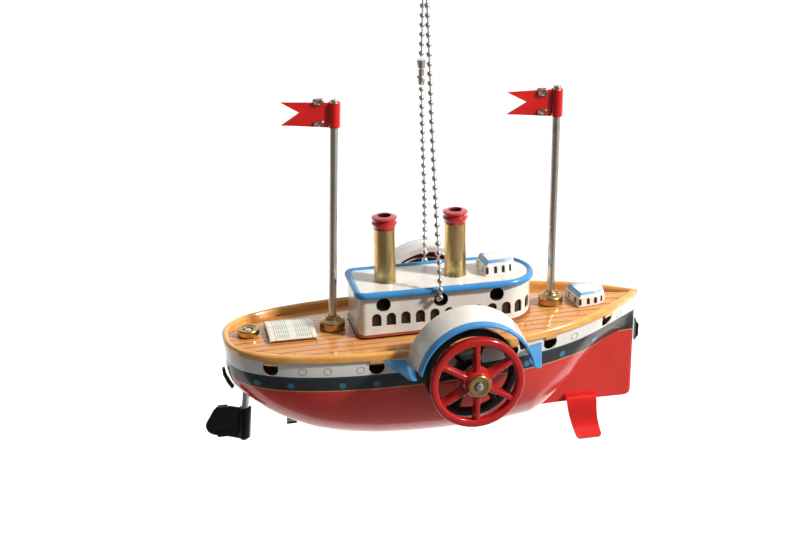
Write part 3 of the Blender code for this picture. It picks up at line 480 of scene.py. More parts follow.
def ruled_plate():
    """Cream plate: two columns of short teal ticks inside red lines, and a red line along the ridge."""
    made = Shader("ruled_plate", CREAM, 0.0, 0.25, 0.5)
    x, y, z = made.axes()
    bars = made.band(made.math("FRACT", made.math("DIVIDE", x, 0.78)), 0.25, 0.7, 0.08)
    rows = made.band(made.math("FRACT", made.math("DIVIDE", y, 2.9)), 0.12, 0.95, 0.05)
    columns = made.math("ADD", made.band(x, -65.6, -60.9, 0.05), made.band(x, -58.4, -53.2, 0.05))
    inside = made.math("MULTIPLY", columns, made.near(y, 7.6, 0.1))
    ink = made.math("MULTIPLY", made.math("MULTIPLY", bars, rows), inside)
    tone = made.mix(made.math("MULTIPLY", ink, 0.75), CREAM, (0.12, 0.30, 0.31))
    ends = made.math("ADD", made.band(x, -66.2, -65.9, 0.05), made.band(x, -52.9, -52.6, 0.05))
    sides = made.math("MULTIPLY", columns, made.band(made.math("ABSOLUTE", y), 7.7, 8.0, 0.05))
    lines = made.math("MULTIPLY", made.math("ADD", ends, sides), 0.7)
    tone = made.mix(lines, tone, (0.55, 0.12, 0.07))
    ridge = made.math("MULTIPLY", made.near(y, 0.22, 0.05), 0.55)
    made.set("Base Color", made.mix(ridge, tone, (0.55, 0.14, 0.09)))
    made.bump(made.noise(500.0, detail=2.0), 0.1)
    return made.made


def house_print():
    """Enamel whose colours sit in the piece's own attribute, as printed tin has them."""
    roughness = 0.22
    made = Shader("printed_tin", (0.8, 0.8, 0.8), 0.0, roughness, 0.7)
    ink = made.node("Attribute", {}, attribute_name="ink").outputs["Color"]
    worn = made.step(made.noise(350.0, detail=5.0, rough=0.7), 0.7, 0.76)
    made.set("Base Color", made.mix(worn, ink, (0.45, 0.42, 0.38)))
    made.set("Roughness", made.span(made.noise(150.0), roughness * 0.7, roughness * 1.4))
    made.bump(made.noise(480.0, detail=2.0), 0.12)
    return made.made


def keel_tin(node):
    """Bare tin above a dark lower edge 0.9 mm deep."""
    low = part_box(node)[0][2] * METRE + HANG[2]
    made = Shader(node + "_tin", (0.60, 0.59, 0.57), 1.0, 0.34)
    x, y, z = made.axes()
    cloud = made.step(made.noise(300.0, detail=4.0), 0.4, 0.7)
    tone = made.mix(cloud, (0.66, 0.65, 0.63), (0.42, 0.39, 0.36))
    cover = made.below(z, low + 0.85, low + 1.0)
    made.set("Base Color", made.mix(cover, tone, (0.012, 0.010, 0.009)))
    made.set("Metallic", made.math("SUBTRACT", 1.0, cover))
    made.bump(made.noise(500.0, detail=2.0), 0.12)
    return made.made


PRINTS = {
    "hull": hull_print, "deck": deck_print, "rim": rim_print, "plate": ruled_plate, "print": house_print,
}

# Enamels: material, colour or property, roughness, worn specks; then peel, coat and level where they differ.
ENAMELS = {
    "red": ("red_enamel", "red", 0.16, (0.35, 0.3, 0.28)),
    "bright_red": ("bright_red_enamel", (0.68, 0.012, 0.01), 0.2),
    "white": ("white_enamel", "white", 0.2, (0.5, 0.46, 0.42)),
    "blue": ("blue_enamel", "blue", 0.2, (0.5, 0.6, 0.75)),
    "foot_line": ("foot_line_enamel", (0.34, 0.06, 0.02), 0.25),
    # inside is near-black painted shade: the cabin's inner face and liner, the funnel bores and plugs, and
    # the roof's underside.
    "inside": ("dark_inside", (0.03, 0.02, 0.014), 0.5),
    "cap_red": ("cap_enamel", (0.55, 0.016, 0.014), 0.14, None, 0.12, 0.9, 0.6),
    "black": ("black_enamel", (0.010, 0.009, 0.008), 0.32, None, 0.25, 0.06, 0.28),
    # shade is dark painted shade for the inner faces of the paddle boxes.
    "shade": ("unpainted_inside", (0.10, 0.09, 0.08), 0.35),
    "port_glass": ("port_glass_ink", (0.045, 0.20, 0.32), 0.2),
    "port_ring": ("port_ring_ink", (0.42, 0.40, 0.37), 0.25),
}

# Bare metals: material, colour, tarnish, roughness, stretch of the tool lines; then their waves per metre.
METALS = {
    "brass": ("turned_brass", (0.80, 0.56, 0.24), (0.58, 0.36, 0.14), 0.28, (1.0, 1.0, 0.05)),
    "base_brass": ("lathe_brass", (0.62, 0.42, 0.18), (0.30, 0.16, 0.06), 0.24, (0.1, 0.1, 3.0)),
    "nickel": ("nickel_rod", (0.74, 0.68, 0.59), (0.36, 0.29, 0.21), 0.26, (1.0, 1.0, 0.04)),
    "chain": ("chain_nickel", (0.82, 0.81, 0.79), (0.34, 0.32, 0.30), 0.18, (1.0, 1.0, 1.0)),
    "tab": ("crimped_tab", (0.62, 0.40, 0.36), (0.30, 0.08, 0.06), 0.3, (1.0, 1.0, 1.0), 500.0),
    "bare": ("bare_tin", (0.60, 0.59, 0.57), (0.33, 0.31, 0.29), 0.35, (1.0, 0.2, 1.0)),
}
PAINTS = {}

# Doubles closer than this, in metres, are merged; an edge sharper than this, in degrees, is drawn sharp.
MERGE = 2e-6
SHARP_ANGLE = 32.0


def paint(name):
    """A finish by name, made the first time it is asked for."""
    if name not in PAINTS:
        if name in ENAMELS:
            PAINTS[name] = enamel(*ENAMELS[name])
        elif name in METALS:
            PAINTS[name] = metal(*METALS[name])
        else:
            PAINTS[name] = PRINTS[name]()
    return PAINTS[name]


# Surfaces


def metres(points):
    """Ship millimetres as metres in the world's frame."""
    return (np.asarray(points, float) - HANG) * MM


def grid_faces(rows, cols, wrap=(False, False)):
    """Quads of a grid of points, row by row, joined round where a direction wraps."""
    up = np.arange(rows if wrap[0] else rows - 1)
    over = np.arange(cols if wrap[1] else cols - 1)
    i, j = np.meshgrid(up, over, indexing="ij")
    k, m = (i + 1) % rows, (j + 1) % cols
    quads = np.stack([i * cols + j, i * cols + m, k * cols + m, k * cols + j], -1)
    return quads.reshape(-1, 4)


def sheet_part(grid, finish, wrap=(False, False)):
    """One open or wrapped grid as points, faces and its finish."""
    grid = np.asarray(grid, float)
    rows, cols = grid.shape[-3], grid.shape[-2]
    faces = grid_faces(rows, cols, wrap)
    copies = int(np.prod(grid.shape[:-3])) if grid.ndim > 3 else 1
    shift = (np.arange(copies) * rows * cols)[:, None, None]
    faces = (faces[None] + shift).reshape(-1, 4)
    return grid.reshape(-1, 3), faces, finish


def shell_part(outer, inner, finish, keep=None, wrap=(False, False), lining=None):
    """Two grids a wall apart, joined along every free edge, holes included."""
    rows, cols = outer.shape[:2]
    cells = (rows if wrap[0] else rows - 1, cols if wrap[1] else cols - 1)
    keep = np.ones(cells, bool) if keep is None else keep
    quads = grid_faces(rows, cols, wrap)[keep.ravel()]
    count = rows * cols
    edges = []
    for axis in (0, 1):
        blank = np.zeros((1, cells[1]) if axis == 0 else (cells[0], 1), bool)
        if wrap[axis]:
            before, after = np.roll(keep, 1, axis), keep
        else:
            before, after = np.concatenate([blank, keep], axis), np.concatenate([keep, blank], axis)
        a, b = np.nonzero(before != after)
        start = a * cols + b
        end = a * cols + (b + 1) % cols if axis == 0 else ((a + 1) % rows) * cols + b
        edges.append(np.stack([start, end, end + count, start + count], -1))
    points = np.concatenate([outer.reshape(-1, 3), inner.reshape(-1, 3)])
    walls = np.concatenate([quads] + edges)
    back = quads[:, ::-1] + count
    if lining is None:
        return [(points, np.concatenate([walls, back]), finish)]
    return [(points, walls, finish), (points, back, lining)]


def build(name, body, parts, replaces=(), ink=None):
    """One piece from parts of points, quads and finishes. Doubles are merged, faces turned outwards."""
    points = []
    faces = []
    marks = []
    names = []
    start = 0
    for place, quads, finish in parts:
        if finish not in names:
            names.append(finish)
        points.append(place)
        faces.append(quads + start)
        marks.append(np.full(len(quads), names.index(finish)))
        start += len(place)
    points = metres(np.concatenate(points))
    faces = np.concatenate(faces)
    marks = np.concatenate(marks)
    used, packed = np.unique(faces, return_inverse=True)
    faces = packed.reshape(-1, 4)
    data = bpy.data.meshes.new(name)
    data.vertices.add(len(used))
    data.vertices.foreach_set("co", points[used].astype(np.float32).ravel())
    data.loops.add(faces.size)
    data.loops.foreach_set("vertex_index", faces.ravel().astype(np.int32))
    data.polygons.add(len(faces))
    data.polygons.foreach_set("loop_start", (np.arange(len(faces)) * 4).astype(np.int32))
    data.polygons.foreach_set("material_index", marks.astype(np.int32))
    if ink is not None:
        layer = data.attributes.new("ink", "FLOAT_COLOR", "POINT")
        layer.data.foreach_set("color", ink[used].astype(np.float32).ravel())
    data.update(calc_edges=True)
    for finish in names:
        data.materials.append(paint(finish))
    work = bmesh.new()
    work.from_mesh(data)
    bmesh.ops.remove_doubles(work, verts=work.verts, dist=MERGE)
    bmesh.ops.dissolve_degenerate(work, edges=work.edges, dist=1e-7)
    bmesh.ops.recalc_face_normals(work, faces=work.faces)
    for face in work.faces:
        face.smooth = True
    work.to_mesh(data)
    work.free()
    data.set_sharp_from_angle(angle=math.radians(SHARP_ANGLE))
    made = bpy.data.objects.new(name, data)
    bpy.context.scene.collection.objects.link(made)
    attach(made, body)
    if replaces:
        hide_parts(*replaces)
    return made


def unit(vectors):
    """Vectors brought to length one."""
    return vectors / np.maximum(np.linalg.norm(vectors, axis=-1, keepdims=True), 1e-12)


def slope(grid, axis, wrap):
    """Change of a grid's points per step along one of its directions."""
    if wrap:
        return (np.roll(grid, -1, axis) - np.roll(grid, 1, axis)) / 2.0
    return np.gradient(grid, axis=axis)


def wall_of(grid, thickness, wrap=(False, False), flip=False):
    """The second face of a wall: every point moved along the cross product of the two slopes."""
    normal = unit(np.cross(slope(grid, 0, wrap[0]), slope(grid, 1, wrap[1])))
    return grid + normal * thickness * (-1.0 if flip else 1.0)


def frame_of(axis):
    """Three directions square to each other, the first along the axis."""
    along = unit(np.asarray(axis, float))
    side = np.cross(along, (0.0, 0.0, 1.0))
    if np.linalg.norm(side) < 0.1:
        side = np.array((1.0, 0.0, 0.0))
    side = unit(side)
    return along, side, np.cross(along, side)


def turned(profile, centre, axis, finish, segments=64, ends=True):
    """A profile of (radius, height) turned about an axis: centre + height along it + radius round it."""
    profile = np.asarray(profile, float)
    along, side, other = frame_of(axis)
    if ends:
        low, high = profile[:1] * (0.0, 1.0), profile[-1:] * (0.0, 1.0)
        profile = np.concatenate([low, profile, high])
    turn = np.linspace(0.0, 2.0 * np.pi, segments, endpoint=False)
    ring = np.cos(turn)[:, None] * side + np.sin(turn)[:, None] * other
    grid = np.asarray(centre) + profile[:, 1, None, None] * along + profile[:, 0, None, None] * ring[None]
    return sheet_part(grid, finish, (not ends, True))


def rounded(points, radius, steps=4, closed=True):
    """A polygon of (a, b) with its corners replaced by arcs of about the given radius."""
    points = np.asarray(points, float)
    before = np.roll(points, 1, 0) - points
    after = np.roll(points, -1, 0) - points
    cut = np.minimum(radius, 0.45 * np.minimum(np.linalg.norm(before, axis=1), np.linalg.norm(after, axis=1)))
    start = points + unit(before) * cut[:, None]
    end = points + unit(after) * cut[:, None]
    t = np.linspace(0.0, 1.0, steps + 1)[None, :, None]
    arcs = (1 - t) ** 2 * start[:, None] + 2 * t * (1 - t) * points[:, None] + t * t * end[:, None]
    if not closed:
        arcs = np.concatenate([points[:1], arcs[1:-1].reshape(-1, 2), points[-1:]])
    return arcs.reshape(-1, 2)


def lengths(points):
    """How far along a line of points each of them lies."""
    gaps = np.linalg.norm(np.diff(points, axis=0), axis=1)
    return np.concatenate([[0.0], np.cumsum(gaps)])


def hermite(t, gap, start, end, leave, arrive):
    """Cubic over a gap, at a share t of it, with given values and slopes at both ends."""
    return (
        (1 + 2 * t) * (1 - t) ** 2 * start + t * (1 - t) ** 2 * gap * leave
        + t * t * (3 - 2 * t) * end + t * t * (t - 1) * gap * arrive
    )


def smooth(points, count):
    """A cubic through points, its slopes from their neighbours, resampled evenly by length."""
    points = np.asarray(points, float)
    way = lengths(points)
    tangent = np.gradient(points, way, axis=0)
    t = np.linspace(0.0, way[-1], count * 6)
    k = np.clip(np.searchsorted(way, t, side="right") - 1, 0, len(way) - 2)
    h = (way[k + 1] - way[k])[:, None]
    s = ((t - way[k]) / (way[k + 1] - way[k]))[:, None]
    dense = hermite(s, h, points[k], points[k + 1], tangent[k], tangent[k + 1])
    run = lengths(dense)
    goal = np.linspace(0.0, run[-1], count)
    return np.stack([np.interp(goal, run, dense[:, a]) for a in range(dense.shape[1])], -1)


def capped(grid):
    """A tube's grid with each end closed on its middle point."""
    first = np.broadcast_to(grid[:1].mean(1, keepdims=True), grid[:1].shape)
    last = np.broadcast_to(grid[-1:].mean(1, keepdims=True), grid[-1:].shape)
    return np.concatenate([first, grid, last])


def swept(path, section, finish, across):
    """A closed section of (a, b) carried along a path: a along the given direction, b square to both."""
    path = np.asarray(path, float)
    run = unit(np.gradient(path, axis=0))
    side = unit(np.broadcast_to(np.asarray(across, float), run.shape))
    side = unit(side - run * np.sum(side * run, -1, keepdims=True))
    top = np.cross(run, side)
    section = np.asarray(section, float)
    section = np.broadcast_to(section, (len(path),) + section.shape)
    grid = path[:, None] + section[..., 0, None] * side[:, None] + section[..., 1, None] * top[:, None]
    return sheet_part(capped(grid), finish, (False, True))


def monotone(table):
    """Cubic without overshoot through rows of (x, value)."""
    xs, ys = np.array(table, float).T
    gap = np.diff(xs)
    lean = np.diff(ys) / gap
    tangent = np.concatenate([lean[:1], np.zeros(len(lean) - 1), lean[-1:]])
    wide, near = 2 * gap[1:] + gap[:-1], gap[1:] + 2 * gap[:-1]
    same = lean[:-1] * lean[1:] > 0
    safe_a, safe_b = np.where(same, lean[:-1], 1.0), np.where(same, lean[1:], 1.0)
    tangent[1:-1] = np.where(same, (wide + near) / (wide / safe_a + near / safe_b), 0.0)

    def value(x):
        x = np.clip(x, xs[0], xs[-1])
        k = np.clip(np.searchsorted(xs, x, side="right") - 1, 0, len(xs) - 2)
        t = (x - xs[k]) / gap[k]
        return hermite(t, gap[k], ys[k], ys[k + 1], tangent[k], tangent[k + 1])

    return value


bottom_z = monotone(BOTTOM_LINE)
crease_line = monotone(CREASE_LINE)


def crease_z(x):
    """Height of the crease where the fin leaves the hull; abaft the fin it is the bottom."""
    return np.where(x <= CREASE_LINE[0][0], bottom_z(x), np.maximum(crease_line(x), bottom_z(x)))


def rim_z(x):
    """Height of the rim, a quadratic in x."""
    return SHEER[0] + SHEER[1] * x + SHEER[2] * x * x


def half_width(x):
    """Half of the plan: full beam amidships, a power curve to the stem and a superellipse at the stern."""
    x = np.asarray(x, float)
    bow = 1.0 - (np.clip(x, 0.0, STEM_X) / STEM_X) ** BOW_POWER
    part = np.clip((STERN_CURVE_X - x) / (STERN_CURVE_X - STERN_X), 0.0, 1.0)
    stern = (1.0 - part ** STERN_POWER) ** (1.0 / STERN_POWER)
    return HALF_BEAM * np.where(x >= 0.0, bow, stern)


def deck_z(x, y):
    """The crowned deck: highest in the middle, falling as the square of the distance to the side."""
    across = np.minimum(1.0, np.abs(y) / np.maximum(1.0, half_width(x) - RIM_WIDTH))
    return rim_z(x) - DECK_DROP + DECK_CROWN * (1.0 - across * across)


def outline(inset, count):
    """Half of the plan from the stern tip to the stem, moved inwards, as count points of (x, y)."""
    turn = np.linspace(0.0, np.pi / 2.0, 400)
    xs = np.concatenate([STERN_X + (STERN_CURVE_X - STERN_X) * (1.0 - np.cos(turn)),
                         np.linspace(STERN_CURVE_X + 0.1, STEM_X, 500)])
    line = np.stack([xs, half_width(xs)], -1)
    run = np.gradient(line, axis=0)
    normal = unit(np.stack([run[:, 1], -run[:, 0]], -1))
    normal[0] = (1.0, 0.0)
    moved = line + normal * inset
    if inset > 0.0:
        inner = moved[1:][moved[1:, 1] > 0.0]
        inner = inner[: np.argmax(inner[:, 0]) + 1]
        tail, before = inner[-1], inner[-2]
        fall = min((tail[1] - before[1]) / max(1e-6, tail[0] - before[0]), -0.5)
        moved = np.concatenate([[[STERN_X + inset, 0.0]], inner, [[tail[0] - tail[1] / fall, 0.0]]])
    way = lengths(moved)
    share = np.linspace(0.0, 1.0, count)
    at = (share - 0.035 * np.sin(2.0 * np.pi * share)) * way[-1]
    return np.stack([np.interp(at, way, moved[:, 0]), np.interp(at, way, moved[:, 1])], -1)


def hull_section(x):
    """Height of the hull's top and of its crease, the power of its curve, and half of the fin, at x."""
    top = rim_z(x) - HULL_DROP
    crease = np.minimum(crease_z(x), top - 2.0)
    power = 2.3 - 0.75 * np.clip((x - 15.0) / 50.0, 0.0, 1.0)
    edge = SEAM_HALF + (FIN_HALF - SEAM_HALF) * np.clip((x - 20.0) / 10.0, 0.0, 1.0)
    return top, crease, power, edge


def hull_rows(x, width, count=52, fin=16):
    """Sections of the hull: |y|^p + |z|^p = 1 from the rim to the crease, then straight down the fin."""
    top, crease, power, edge = hull_section(x)
    low = np.minimum(bottom_z(x), crease)
    edge = np.minimum(edge, np.maximum(width, SEAM_HALF))
    turn = np.linspace(0.0, np.pi / 2.0, 200)[None]
    bend = (2.0 / power)[:, None]
    ys = edge[:, None] + (width - edge)[:, None] * np.cos(turn) ** bend
    zs = top[:, None] - (top - crease)[:, None] * np.sin(turn) ** bend
    ys = np.concatenate([ys, edge[:, None]], 1)
    zs = np.concatenate([zs, low[:, None] - 1e-6], 1)
    way = np.concatenate([np.zeros((len(x), 1)), np.cumsum(np.hypot(np.diff(ys), np.diff(zs)), 1)], 1)
    ease = np.clip((x - 32.0) / 11.0, 0.0, 1.0)
    stop = way[:, -2] * (0.74 + 0.26 * ease * ease * (3.0 - 2.0 * ease))
    first = stop[:, None] * np.linspace(0.0, 1.0, count)[None]
    rest = stop[:, None] + (way[:, -1] - stop)[:, None] * np.linspace(0.0, 1.0, fin + 1)[None, 1:]
    at = np.concatenate([first, rest], 1)
    y = np.array([np.interp(a, w, v) for a, w, v in zip(at, way, ys)])
    z = np.array([np.interp(a, w, v) for a, w, v in zip(at, way, zs)])
    return np.stack([np.broadcast_to(x[:, None], y.shape), y, z], -1)


def punch(grids, keep, flat, along, up, reach):
    """Takes the cells inside an opening out, and moves the points on its edge onto its outline."""
    size_of = np.hypot(flat[..., 0], flat[..., 1])
    turn = np.arctan2(flat[..., 1], flat[..., 0])
    mid = (flat[:-1, :-1] + flat[1:, :-1] + flat[:-1, 1:] + flat[1:, 1:]) / 4.0
    inside = np.hypot(mid[..., 0], mid[..., 1]) < reach(np.arctan2(mid[..., 1], mid[..., 0]))
    inside &= size_of[:-1, :-1] < 12.0
    around = np.pad(inside, 1)
    some = around[:-1, :-1] | around[1:, :-1] | around[:-1, 1:] | around[1:, 1:]
    whole = around[:-1, :-1] & around[1:, :-1] & around[:-1, 1:] & around[1:, 1:]
    edge = some & ~whole
    shift = np.where(edge, reach(turn) - size_of, 0.0)[..., None]
    move = shift * (np.cos(turn)[..., None] * along + np.sin(turn)[..., None] * up)
    for grid in grids:
        grid += move
    keep &= ~inside


def round_reach(radius):
    """Distance from a round hole's centre to its outline."""
    return lambda turn: np.full_like(turn, radius)


def arch_reach(half, sill, spring):
    """Distance from a window's centre to its outline: sides, sill below, half circle above."""

    def reach(turn):
        c, s = np.cos(turn), np.sin(turn)
        side = half / np.maximum(np.abs(c), 1e-6)
        foot = np.where(s < 0.0, sill / np.maximum(-s, 1e-6), 1e9)
        crown = spring * s + np.sqrt(np.maximum(half * half - (spring * c) ** 2, 0.0))
        return np.where(side * s > spring, crown, np.minimum(side, foot))

    return reach


def make_hull():
    """Two pressed halves with the punched tab holes and their half of the flat fin."""
    line = outline(HULL_INSET, 330)
    x = np.minimum(line[:, 0], BOTTOM_LINE[-1][0])
    width = np.maximum(line[:, 1], SEAM_HALF)
    for label, side in SIDES:
        outer = hull_rows(x, width)
        outer[..., 1] *= side
        inner = wall_of(outer, size("tin"), flip=side > 0.0)
        keep = np.ones((outer.shape[0] - 1, outer.shape[1] - 1), bool)
        for place, length in DECK_TABS:
            lean = float(half_width(place + 1.0) - half_width(place - 1.0)) / 2.0
            along = unit(np.array((1.0, side * lean, 0.0)))
            height = float(rim_z(place)) - TAB_HOLE_DROP
            off = outer - np.array((place, side * (float(half_width(place)) - HULL_INSET), height))
            flat = np.stack([off @ along, off[..., 2]], -1)
            punch((outer, inner), keep, flat, along, UP, round_reach(TAB_HOLE_R))
        off = outer - np.array((0.0, side * (HALF_BEAM - HULL_INSET), AXLE_Z))
        punch((outer, inner), keep, off[..., (0, 2)], AHEAD, UP, round_reach(AXLE_HOLE_R))
        parts = shell_part(outer, inner, "hull", keep, lining="bare")
        build("hull_" + label + "_tin", "ship", parts, ["hull_" + label])
    make_portholes()


def hull_point(x, depth, side):
    """A point just off the hull's outside, at x and a depth under the rim."""
    x = np.asarray(x, float)
    z = rim_z(x) - depth
    top, crease, power, edge = hull_section(x)
    width = half_width(x) - HULL_INSET
    fall = np.clip((top - z) / (top - crease), 0.0, 1.0)
    y = edge + (width - edge) * (1.0 - fall ** power) ** (1.0 / power)
    return np.stack([x, side * (y + INK_LIFT), z], -1)


def make_portholes():
    """Printed ports: teal discs on the slate band and thin grey rings on the white band.

    A point is x + radius cos t along the hull and depth - radius sin t under the rim.
    """
    turn = np.linspace(0.0, 2.0 * np.pi, 28, endpoint=False)
    reach = np.linspace(0.0, 1.0, 6)[:, None]
    disc, ring = TEAL_R * reach, GREY_R + 0.5 * reach[3:]
    kinds = (("port_glass", TEAL_PORTS, TEAL_DEPTH, disc), ("port_ring", GREY_PORTS, GREY_DEPTH, ring))
    parts = []
    for finish, places, depth, radius in kinds:
        grids = [hull_point(place + radius * np.cos(turn), depth - radius * np.sin(turn), side)
                 for side in (-1.0, 1.0) for place in places]
        parts.append(sheet_part(np.array(grids), finish, (False, True)))
    build("printed_ports", "ship", parts)


def make_deck():
    """Deck tray: skirt, rolled rim, inner wall and crowned printed deck.

    The rim's bead is half an ellipse: inset = 1.2 - 1.2 cos t, drop = r - 0.97 r sin t.
    """
    turn = np.linspace(0.0, np.pi, 15)
    roll = size("rim_roll")
    wide = RIM_WIDTH / 2.0
    bead = np.stack([wide - wide * np.cos(turn), roll - 0.97 * roll * np.sin(turn)], -1)
    foot = ((0.03, SKIRT), (0.0, SKIRT - 0.12), (0.0, 2.2), (0.0, 1.6))
    inner = ((RIM_WIDTH, 1.6), (RIM_WIDTH, 2.4), (RIM_WIDTH, DECK_DROP))
    profile = np.concatenate([foot, bead, inner])
    count = 260
    rows = []
    for inset, drop in profile:
        line = outline(max(0.0, inset), count)
        rows.append(np.concatenate([line, (rim_z(line[:, 0]) - drop)[:, None]], 1))
    half = np.array(rows)
    other = half[:, -2:0:-1].copy()
    half[..., 1] *= -1.0
    loop = np.concatenate([half, other], 1)
    under = wall_of(loop, RIM_TIN, (False, True))
    if np.mean(under[8, :, 2] - loop[8, :, 2]) > 0.0:
        under = wall_of(loop, RIM_TIN, (False, True), flip=True)
    under[-1, :, 2] = loop[-1, :, 2] - RIM_TIN
    under[-1, :, :2] = loop[-1, :, :2]
    parts = shell_part(loop, under, "rim", wrap=(False, True))
    edge = outline(RIM_WIDTH, count)
    across = np.linspace(-1.0, 1.0, 61)
    x = np.broadcast_to(edge[:, 0, None], (count, len(across)))
    y = edge[:, 1, None] * across[None]
    top = np.stack([x, y, deck_z(x, y) - 0.02], -1)
    parts += shell_part(top, top - (0.0, 0.0, 0.3), "deck")
    build("deck_tray", "ship", parts, ["deck"])
    make_deck_tabs()


def make_deck_tabs():
    """Tabs of the skirt folded into the hull: inset = 1.7 t squared, drop = 2.3 sin t, along each tab."""
    fold = np.linspace(0.0, 1.0, 9)
    inset = 0.05 + 1.7 * fold ** 2
    drop = SKIRT - 0.1 + 2.3 * np.sin(fold * np.pi / 2.2)
    tabs = []
    for side in (-1.0, 1.0):
        for place, length in DECK_TABS:
            x = place + np.linspace(-0.5, 0.5, 9) * length
            grid = np.stack([
                np.broadcast_to(x, (9, 9)),
                side * (half_width(x)[None] - inset[:, None]),
                rim_z(x)[None] - drop[:, None],
            ], -1)
            tabs += shell_part(grid, grid - (0.0, side * 0.3, 0.0), "rim")
    build("deck_tabs", "ship", tabs)


def make_stage():
    """The floor, the room, one soft key light and the camera."""
    make_floor()
    make_room()
    make_key()
    make_camera()
    bpy.context.scene.view_settings.view_transform = "Standard"


def make_floor():
    """Pale paper, flat from under the ship to 2.1 m behind it, where it bends up.

    Past there y = 2.1 + 0.9 sin t and z = floor + 1.26 (1 - cos t).
    """
    v = np.linspace(0.0, 1.0, 60)
    flat, bend = v * 3.5, (v - 0.6) / 0.4 * np.pi / 2
    y = np.where(v < 0.6, flat, 2.1 + 0.9 * np.sin(bend))
    z = np.where(v < 0.6, FLOOR_Z, FLOOR_Z + 0.9 * (1 - np.cos(bend)) * 1.4)
    u = np.linspace(-3.0, 3.0, 30)
    grid = np.stack(np.broadcast_arrays(u[None], y[:, None], z[:, None]), -1).reshape(-1, 3)
    floor = bpy.data.meshes.new("studio_floor")
    floor.from_pydata(grid.tolist(), [], grid_faces(60, 30).tolist())
    shader = Shader("studio_paper", (0.86, 0.86, 0.86), 0.0, 0.6)
    shader.set("Base Color", shader.mix(shader.noise(3.0), (0.87, 0.87, 0.865), (0.85, 0.85, 0.85)))
    shader.set("Emission Color", (1.0, 1.0, 0.995))
    shader.set("Emission Strength", 0.6)
    floor.materials.append(shader.made)
    for face in floor.polygons:
        face.use_smooth = True
    made = bpy.data.objects.new("studio_floor", floor)
    bpy.context.scene.collection.objects.link(made)


def make_key():
    """A small warm area light, ahead and to starboard of the ship and above it."""
    data = bpy.data.lights.new("key", "AREA")
    data.size = KEY_SIZE
    data.energy = KEY_POWER
    data.color = (1.0, 0.965, 0.91)
    lamp = bpy.data.objects.new("key", data)
    lamp.location = KEY_PLACE
    aim = np.array(KEY_AIM) - np.array(KEY_PLACE)
    lamp.rotation_mode = "QUATERNION"
    lamp.rotation_quaternion = Vector(aim).to_track_quat("-Z", "Y")
    bpy.context.scene.collection.objects.link(lamp)


def make_room():
    """The world: pale, darker round DARK_SIDE and brighter round GLOW_SIDE. The camera sees it white."""
    world = bpy.data.worlds.new("studio")
    bpy.context.scene.world = world
    world.use_nodes = True
    net = Nodes(world.node_tree)
    where = net.node("TexCoord", {}).outputs["Generated"]
    levels = []
    for direction, step in ((tuple(unit(np.array(DARK_SIDE))), DARK_STEP), (GLOW_SIDE, GLOW_STEP)):
        along = net.node("VectorMath", {0: where, 1: direction}, operation="DOT_PRODUCT")
        levels.append(net.step(along.outputs["Value"], *step))
    seen = net.node("LightPath", {}).outputs["Is Camera Ray"]
    back = net.tree.nodes["Background"]
    net.feed(back.inputs[0], (1.0, 1.0, 1.0))
    net.feed(back.inputs[1], net.math("MAXIMUM", net.math("ADD", *levels), seen))


def make_camera():
    """The camera stands back from its aim by azimuth and elevation, and is rolled slightly."""
    a, e, roll = (math.radians(angle) for angle in CAMERA_TURN)
    back = Vector((math.sin(a) * math.cos(e), -math.cos(a) * math.cos(e), math.sin(e)))
    right = Vector((math.cos(a), math.sin(a), 0.0))
    up = back.cross(right)
    turned_right = right * math.cos(roll) + up * math.sin(roll)
    turned_up = up * math.cos(roll) - right * math.sin(roll)
    aim = Vector(tuple(metres(CAMERA_AIM)))
    data = bpy.data.cameras.new("camera")
    data.lens = CAMERA_LENS
    data.sensor_width = 36.0
    data.clip_start = 0.01
    data.clip_end = 20.0
    made = bpy.data.objects.new("camera", data)
    turn = Matrix((turned_right, turned_up, back)).transposed().to_4x4()
    made.matrix_world = Matrix.Translation(aim + back * CAMERA_REACH) @ turn
    bpy.context.scene.collection.objects.link(made)
    bpy.context.scene.camera = made


def house_plan(plan, inset, arc=60, corner=8, side=24):
    """Closed plan of a house: flat aft wall with round corners and a half-round fore end."""
    aft, centre, half, radius = plan
    aft, half, radius = aft + inset, half - inset, max(0.3, radius - inset)
    bow = np.linspace(-np.pi / 2.0, np.pi / 2.0, arc + 1)
    quarter = np.linspace(np.pi / 2.0, np.pi, corner + 1)
    straight = np.linspace(centre, aft + radius, side + 1)[1:-1]
    back = np.linspace(half - radius, radius - half, side + 1)[1:-1]
    parts = (
        np.stack([centre + half * np.cos(bow), half * np.sin(bow)], -1),
        np.stack([straight, np.full(len(straight), half)], -1),
        np.stack([aft + radius + radius * np.cos(quarter), half - radius + radius * np.sin(quarter)], -1),
        np.stack([np.full(len(back), aft), back], -1),
        np.stack([aft + radius + radius * np.cos(quarter + np.pi / 2), radius - half
                  + radius * np.sin(quarter + np.pi / 2)], -1),
        np.stack([straight[::-1], np.full(len(straight), -half)], -1),
    )
    return np.concatenate(parts)


def bridge(ring, finish, cross=24):
    """Fills a closed symmetrical ring with lines straight across it."""
    turned_ring = np.roll(ring, -int(np.argmax(ring[:, 0])), 0)
    count = len(turned_ring)
    half = count // 2
    near = turned_ring[: half + 1]
    far = turned_ring[[(-k) % count for k in range(half + 1)]]
    t = np.linspace(0.0, 1.0, cross)[None, :, None]
    return sheet_part(near[:, None] * (1 - t) + far[:, None] * t, finish)


